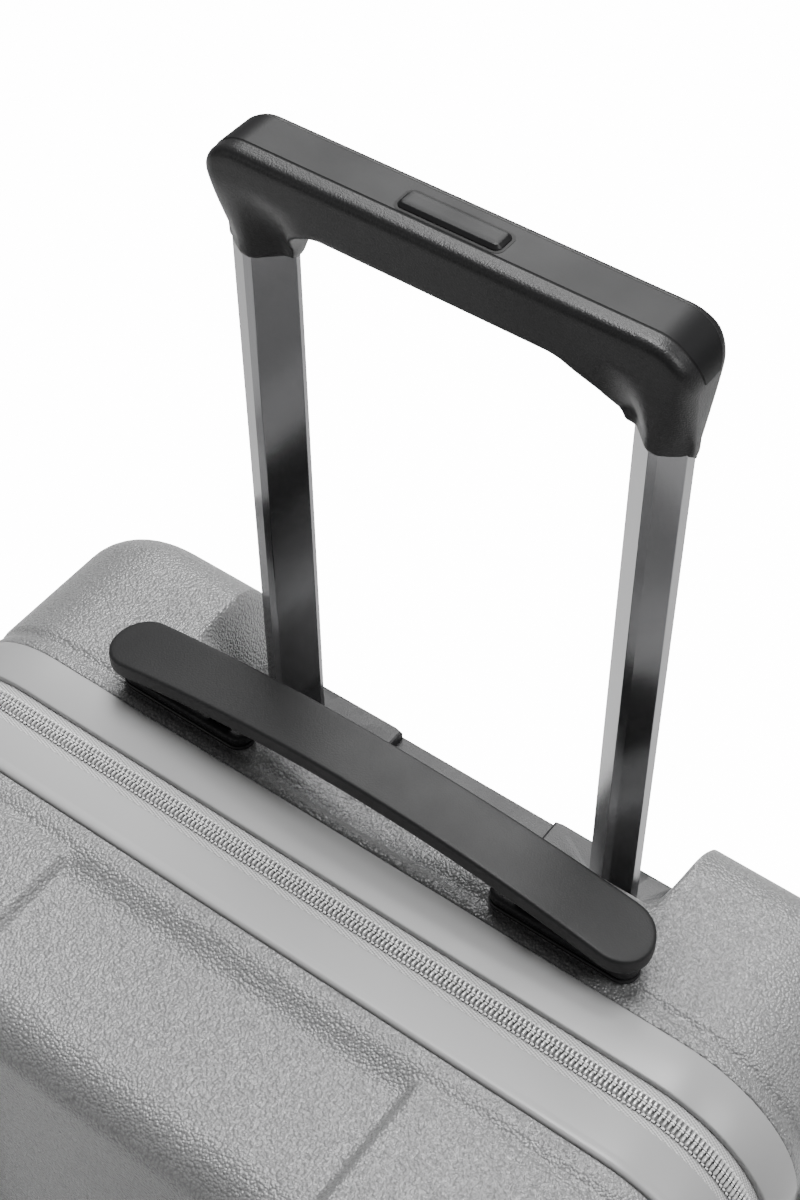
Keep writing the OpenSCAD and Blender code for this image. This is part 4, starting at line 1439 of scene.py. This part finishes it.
# ---------------------------------------------------------------- carrying handles
@dataclass
class CarryHandles:
    """The arched handle on top, the handle on the side and their mounts."""

    thick: float = 9.0
    rise: float = 13.0
    waist: float = 0.1
    tongue_l: float = 27.0
    top_tongues: tuple[float, ...] = (-105.0, -73.0, 73.0, 105.0)
    side_tongues: tuple[float, ...] = (-82.0, -50.0, 50.0, 82.0)

    def build(self) -> None:
        """Builds both handles and the mounts under them."""
        self._top()
        self._side()
        for side in (-1, 1):
            self._mount(f"top_handle_mount_{'left' if side < 0 else 'right'}")
        for where in ("upper", "lower"):
            self._mount(f"side_handle_mount_{where}")

    def _bar(self, half_l: float, half_w: float, thick: float) -> MeshData:
        """Builds a flat bar with round ends, a fine edge line and soft edges.

        Args:
            half_l: Its half length.
            half_w: Its half width.
            thick: Its thickness.

        Returns:
            Points and faces.
        """
        inner = half_w - 0.8
        profile = [(inner, 0), (2.2, 0), (0.9, 0.5), (0.2, 1.6), (0, 3.0)]
        profile += [(0, thick - 1.7), (0.05, thick - 0.9), (0.3, thick - 0.35), (0.8, thick - 0.05)]
        profile += [(1.5, thick), (3.0, thick), (inner, thick)]
        return plate(half_l, half_w, half_w - 0.01, profile, 60, 12)

    def _top(self) -> None:
        """Builds the arched handle on top."""
        low, high = (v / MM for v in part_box("top_handle"))
        half_l, half_w = (high.x - low.x) / 2, (high.y - low.y) / 2
        rise, thick = self.rise, self.thick
        points, faces = self._bar(half_l, half_w, thick)
        radius = (half_l ** 2 + rise ** 2) / (2 * rise)
        drop = radius - np.sqrt(radius ** 2 - points[:, 0] ** 2)
        points[:, 1] *= 1 - self.waist * (1 - (points[:, 0] / half_l) ** 2)
        points = placed(points, (0, (low.y + high.y) / 2, 0), (1, 0, 0), (0, 1, 0), (0, 0, 1))
        points[:, 2] += high.z - thick - drop
        legs = [self._tongue(x, low.z, high.z - 12, (low.y + high.y) / 2)
                for x in self.top_tongues]
        obj = finish_piece("top_handle_piece", *merged([(points, faces), *legs]), HANDLE, 40)
        attach(obj, "top_handle", HANDLE, "top_handle")

    def _tongue(self, x: float, z0: float, z1: float, y: float) -> MeshData:
        """Returns one tongue that slides in a mount."""
        points, faces = plate(4.9, 1.9, 1.0, [(1.5, z0), (0, z0), (0, z1), (1.5, z1)], 2, 3)
        return points + np.array((x, y, 0.0)), faces

    def _side(self) -> None:
        """Builds the handle on the lock side."""
        low, high = (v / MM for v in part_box("side_handle"))
        half_l, half_w = (high.z - low.z) / 2, (high.y - low.y) / 2
        points, faces = self._bar(half_l, half_w, self.thick)
        mid = ((low.y + high.y) / 2, (low.z + high.z) / 2)
        bar = placed(points, (high.x - self.thick, *mid), (0, 0, 1), (0, 1, 0), (1, 0, 0))
        legs = []
        for z in self.side_tongues:
            p, f = self._tongue(0.0, 0.0, self.tongue_l, 0.0)
            root = (low.x + 2, mid[0], mid[1] + z)
            legs.append((placed(p, root, (0, 0, 1), (0, 1, 0), (1, 0, 0)), f))
        obj = finish_piece("side_handle_piece", *merged([(bar, faces), *legs]), HANDLE, 40)
        attach(obj, "side_handle", HANDLE, "side_handle")

    def _mount(self, node: str) -> None:
        """Builds one slotted mount with a stepped rim.

        Args:
            node: The CAD node that it stands for.
        """
        low, high = (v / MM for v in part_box(node))
        size = high - low
        on_top = size.x > size.z
        half_l = (size.x if on_top else size.z) / 2
        half_w, t = size.y / 2, size.z if on_top else size.x
        profile = [(half_w - 1, 0), (0, 0), (0, 1.0), (0.3, 1.4), (1.2, 1.4), (1.2, 2.0),
                   (0.5, 2.5), (0.4, t - 1.2), (0.7, t - 0.4), (1.4, t), (3.2, t),
                   (3.5, t - 0.3), (3.6, t - 3), (half_w - 1, t - 3)]
        points, faces = plate(half_l, half_w, half_w - 0.01, profile, 16, 10)
        centre = (low + high) / 2
        if on_top:
            points = placed(points, (centre.x, centre.y, low.z), (1, 0, 0), (0, 1, 0), (0, 0, 1))
        else:
            points = placed(points, (low.x, centre.y, centre.z), (0, 0, 1), (0, 1, 0), (1, 0, 0))
        obj = finish_piece(node + "_piece", points, faces, BLACK_TRAY, 30)
        attach(obj, "rear_case", BLACK_TRAY, node)


# ---------------------------------------------------------------- lock, feet, casters, inside
@dataclass
class Casters:
    """Four twin-wheel casters with lathed wheels and a hood on each fork."""

    radius: float = 21.0
    wheel_gap: float = 8.6
    fender_out: float = 3.2
    fender_in: float = 1.3

    def build(self) -> None:
        """Builds the housings, the forks and the wheels."""
        for name in ("rear", "front"):
            dressed_copy(f"caster_housings_{name}", CASTER, 1.2, 3)
            for side in ("left", "right"):
                dressed_copy(f"caster_fork_{name}_{side}", CASTER, 1.0, 3)
                self._wheels(f"{name}_{side}")
                self._hood(f"{name}_{side}")

    def _wheels(self, corner: str) -> None:
        """Turns both wheels of one caster, tyres and hubs.

        Args:
            corner: Which caster, such as rear_left.
        """
        low, high = (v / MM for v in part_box("caster_wheels_" + corner))
        mid, wide, r = (low + high) / 2, (high.x - low.x - self.wheel_gap) / 2, self.radius
        tyres, hubs = [], []
        for side in (-1, 1):
            x = mid.x + side * (high.x - low.x - wide) / 2
            half = wide / 2 - 0.05
            edge = arc((r - 2.2, half - 2.2), 2.2, 90, 0, 5)
            profile = [(r - 5.5, half)] + edge + [(a, -b) for a, b in edge[::-1]]
            profile += [(r - 5.5, -half), (r - 5.5, half)]
            tyres.append(lathe(profile, 56, (x, mid.y, mid.z), "x"))
            disc = [(2.6, half - 0.4), (5.0, half - 0.4), (5.4, half - 1.4), (r - 8, half - 1.4),
                    (r - 7.2, half - 0.5), (r - 5.6, half - 0.5), (r - 5.6, -half + 0.5),
                    (2.6, -half + 0.5), (2.6, half - 0.4)]
            hubs.append(lathe([(a, b * side) for a, b in disc], 56, (x, mid.y, mid.z), "x"))
        body = "wheels_" + corner
        attach(finish_piece("tyres_" + corner, *merged(tyres), TYRE, 30), body, TYRE,
               "caster_wheels_" + corner)
        attach(finish_piece("hubs_" + corner, *merged(hubs), HUB, 30), body, TYRE)

    def _hood(self, corner: str) -> None:
        """Bends a fender over both wheels of one caster.

        Args:
            corner: Which caster, such as rear_left.
        """
        low, high = (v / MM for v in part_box("caster_wheels_" + corner))
        mid, half = (low + high) / 2, (high.x - low.x) / 2 - 0.3
        outer = arc((0.0, 0.0), self.radius + self.fender_out, 12, 150, 28)
        inner = arc((0.0, 0.0), self.radius + self.fender_in, 150, 12, 28)
        loop = np.array(outer + inner)
        points = np.vstack([np.c_[np.full(len(loop), mid.x + x), mid.y + loop[:, 0],
                                  mid.z + loop[:, 1]] for x in (-half, half)])
        n = len(loop)
        faces = grid_faces(2, n, True)
        for start in (0, n):
            faces += [(start + k, start + k + 1, start + n - 2 - k, start + n - 1 - k)
                      for k in range(n // 2 - 1)]
        obj = finish_piece("hood_" + corner, points, faces, CASTER, 30)
        bevel(obj, 0.5, 2)
        attach(obj, "fork_" + corner, CASTER)


@dataclass
class Interior:
    """The quilted linings, the crossed packing straps and their buckle."""

    form: CaseForm
    quilt: float = 44.0
    corner_r: float = 28.0
    strap_w: float = 25.0
    strap_l: float = 398.0
    strap_angle: float = 50.0

    def build(self) -> None:
        """Builds and dresses the inside of the case."""
        self._lining("rear", -1)
        self._lining("front", 1)
        self._straps()
        dressed_copy("strap_buckle", BLACK_TRAY, 1.2, 3)

    def _lining(self, name: str, face: int) -> None:
        """Lays one quilted panel of cloth over its CAD panel.

        Args:
            name: Rear or front.
            face: Where the packing is, -1 or 1 along y.
        """
        low, high = (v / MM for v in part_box(f"{name}_lining"))
        half_x, half_z, r = (high.x - low.x) / 2, (high.z - low.z) / 2, self.corner_r
        mid, rows, cols = (low + high) / 2, 97, 85
        xs, zs = np.linspace(-half_x, half_x, cols), np.linspace(-half_z, half_z, rows)
        points, uvs = [], []
        for z in zs:
            for x in xs:
                over = max(0.0, abs(z) - half_z + r)
                limit = half_x - r + math.sqrt(max(0.0, r * r - over * over))
                px = x * limit / half_x
                u, v = (px + z) / self.quilt, (px - z) / self.quilt
                puff = abs(math.sin(math.pi * u) * math.sin(math.pi * v)) ** 0.5
                edge = min(1.0, (limit - abs(px)) / 6, (half_z - abs(z)) / 6)
                points.append((mid.x + px, mid.y + face * 0.9 * puff * edge, mid.z + z))
                uvs.append((px * MM, z * MM))
        obj = finish_piece(f"{name}_lining_piece", points, grid_faces(rows, cols, False), LINING,
                           70, np.array(uvs), recalc=False)
        thicken(obj, 0.8)
        attach(obj, body_of(f"{name}_lining"), LINING, f"{name}_lining")

    def _straps(self) -> None:
        """Lays the two webbing straps, each a separate sheet."""
        low, high = (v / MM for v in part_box("packing_straps"))
        length, mid, rows, cols = self.strap_l, (low + high) / 2, 81, 7
        for side, y in ((1, mid.y + 0.8), (-1, mid.y - 0.8)):
            tilt = math.radians(self.strap_angle)
            along = np.array((math.cos(tilt), 0.0, -side * math.sin(tilt)))
            across = np.array((side * math.sin(tilt), 0.0, math.cos(tilt)))
            us = np.linspace(-length / 2, length / 2, rows)
            vs = np.linspace(-self.strap_w / 2, self.strap_w / 2, cols)
            points = [np.array((0.0, y, mid.z)) + u * along + v * across for u in us for v in vs]
            uvs = np.array([(u * MM, v * MM) for u in us for v in vs])
            name = "strap_falling" if side > 0 else "strap_rising"
            obj = finish_piece(name, points, grid_faces(rows, cols, False), WEBBING, 70, uvs,
                               recalc=False)
            thicken(obj, 1.3)
            attach(obj, "rear_case", WEBBING, *(("packing_straps",) if side > 0 else ()))


@dataclass
class LockAndFeet:
    """The combination lock on the side and the feet opposite."""

    ribs: int = 20

    def build(self) -> None:
        """Builds the lock, its dials and the side feet."""
        dressed_copy("lock_housing", HARDWARE, 0.9, 3)
        for i in (1, 2, 3):
            self._dial(f"lock_dial_{i}")
        dressed_copy("lock_spindle", STEEL, 0.2)
        dressed_copy("lock_release", SATIN, 0.5)
        dressed_copy("key_barrel", STEEL, 0.3)
        for name in ("rear", "front"):
            dressed_copy(f"{name}_side_feet", FOOT, 1.6, 4)

    def _dial(self, node: str) -> None:
        """Turns one dial with ribs round its rim.

        Args:
            node: The CAD node that it stands for.
        """
        low, high = (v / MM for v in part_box(node))
        mid, half, r = (low + high) / 2, (high.z - low.z) / 2, (high.x - low.x) / 2
        profile = [(1.3, half), (r - 0.9, half), (r - 0.15, half - 0.7), (r - 0.15, 0.7 - half),
                   (r - 0.9, -half), (1.3, -half), (1.3, half)]
        points, faces = lathe(profile, self.ribs * 4)
        step = np.arange(self.ribs * 4) % 4 < 2
        for k in (1, 2, 3, 4):
            ring = slice(k * self.ribs * 4, (k + 1) * self.ribs * 4)
            points[ring, :2] *= np.where(step, 1.0, 0.93)[:, None]
        obj = finish_piece(node + "_piece", points + np.array(mid), faces, DIAL, 30)
        attach(obj, body_of(node), DIAL, node)


# ---------------------------------------------------------------- studio
@dataclass
class Studio:
    """Pale floor, soft light and the camera."""

    lens: float = 64.43
    azimuth: float = 37.04
    elevation: float = 48.43
    roll: float = 0.65
    floor_glow: float = 14.0
    room_light: float = 0.2
    floor_half: float = 12000.0
    eye: Point = (0.3000, -0.3347, 1.1855)

    def build(self) -> None:
        """Builds the floor, the lights and the camera."""
        self._floor()
        self._camera()
        world = bpy.data.worlds.new("studio")
        world.use_nodes = True
        world.node_tree.nodes["Background"].inputs["Color"].default_value = (1, 1, 1, 1)
        tree = world.node_tree
        path = _node(tree, "ShaderNodeLightPath")
        glow = _node(tree, "ShaderNodeMath", operation="MULTIPLY_ADD")
        glow.inputs[1].default_value = self.floor_glow
        glow.inputs[2].default_value = self.room_light
        tree.links.new(path.outputs["Is Camera Ray"], glow.inputs[0])
        tree.links.new(glow.outputs[0], tree.nodes["Background"].inputs["Strength"])
        bpy.context.scene.world = world
        self._light("top_softbox", (-0.2, 0.5, 2.4), (0, 0, 0.45), 0.8, 50)
        self._light("key_softbox", (1.5, 0.5, 2.1), (0, 0, 0.45), 0.9, 24)
        self._light("rear_softbox", (-0.9, 1.6, 2.0), (0, 0, 0.5), 1.0, 26)
        self._light("front_softbox", (-1.4, -1.6, 1.2), (0, 0, 0.3), 0.8, 3)

    def _floor(self) -> None:
        """Lays a wide floor that the camera sees as white."""
        half = self.floor_half
        points = [(-half, -half, 0), (half, -half, 0), (half, half, 0), (-half, half, 0)]
        floor = finish_piece("floor", points, [(0, 1, 2, 3)], FLOOR, recalc=False)
        tree = floor.data.materials[0].node_tree
        path = _node(tree, "ShaderNodeLightPath")
        glow = _node(tree, "ShaderNodeMath", operation="MULTIPLY")
        glow.inputs[1].default_value = self.floor_glow
        shader = tree.nodes["Principled BSDF"]
        shader.inputs["Emission Color"].default_value = (1, 1, 1, 1)
        tree.links.new(path.outputs["Is Camera Ray"], glow.inputs[0])
        tree.links.new(glow.outputs[0], shader.inputs["Emission Strength"])

    def _camera(self) -> None:
        """Aims the camera."""
        a, e, r = (math.radians(v) for v in (self.azimuth, self.elevation, self.roll))
        ahead = Vector((-math.sin(a) * math.cos(e), math.cos(a) * math.cos(e), -math.sin(e)))
        right = Vector((math.cos(a), math.sin(a), 0))
        down = ahead.cross(right)
        right, down = (math.cos(r) * right + math.sin(r) * down,
                       math.cos(r) * down - math.sin(r) * right)
        turn = Matrix((right, -down, -ahead)).transposed()
        lens = bpy.data.cameras.new("camera")
        lens.lens, lens.sensor_width, lens.sensor_fit = self.lens, 36.0, "AUTO"
        camera = bpy.data.objects.new("camera", lens)
        camera.matrix_world = Matrix.Translation(self.eye) @ turn.to_4x4()
        bpy.context.scene.collection.objects.link(camera)
        bpy.context.scene.camera = camera

    def _light(self, name: str, place: Point, target: Point, size: float, power: float) -> None:
        """Adds one soft area light.

        Args:
            name: Its name.
            place: Where it stands.
            target: What it is aimed at.
            size: Its width and height in metres.
            power: Its power in watts.
        """
        lamp = bpy.data.lights.new(name, "AREA")
        lamp.shape, lamp.size, lamp.energy = "SQUARE", size, power
        obj = bpy.data.objects.new(name, lamp)
        obj.location = place
        aim = Vector(target) - Vector(place)
        obj.rotation_euler = aim.to_track_quat("-Z", "Y").to_euler()
        bpy.context.scene.collection.objects.link(obj)


def main() -> None:
    """Builds the whole suitcase in order."""
    logging.basicConfig(level=logging.INFO)
    form = CaseForm.from_frame()
    Studio().build()
    Shells(form).build()
    RimAndZip(form).build()
    Trolley().build()
    CarryHandles().build()
    LockAndFeet().build()
    Casters().build()
    Interior(form).build()


if __name__ == "__main__":
    main()
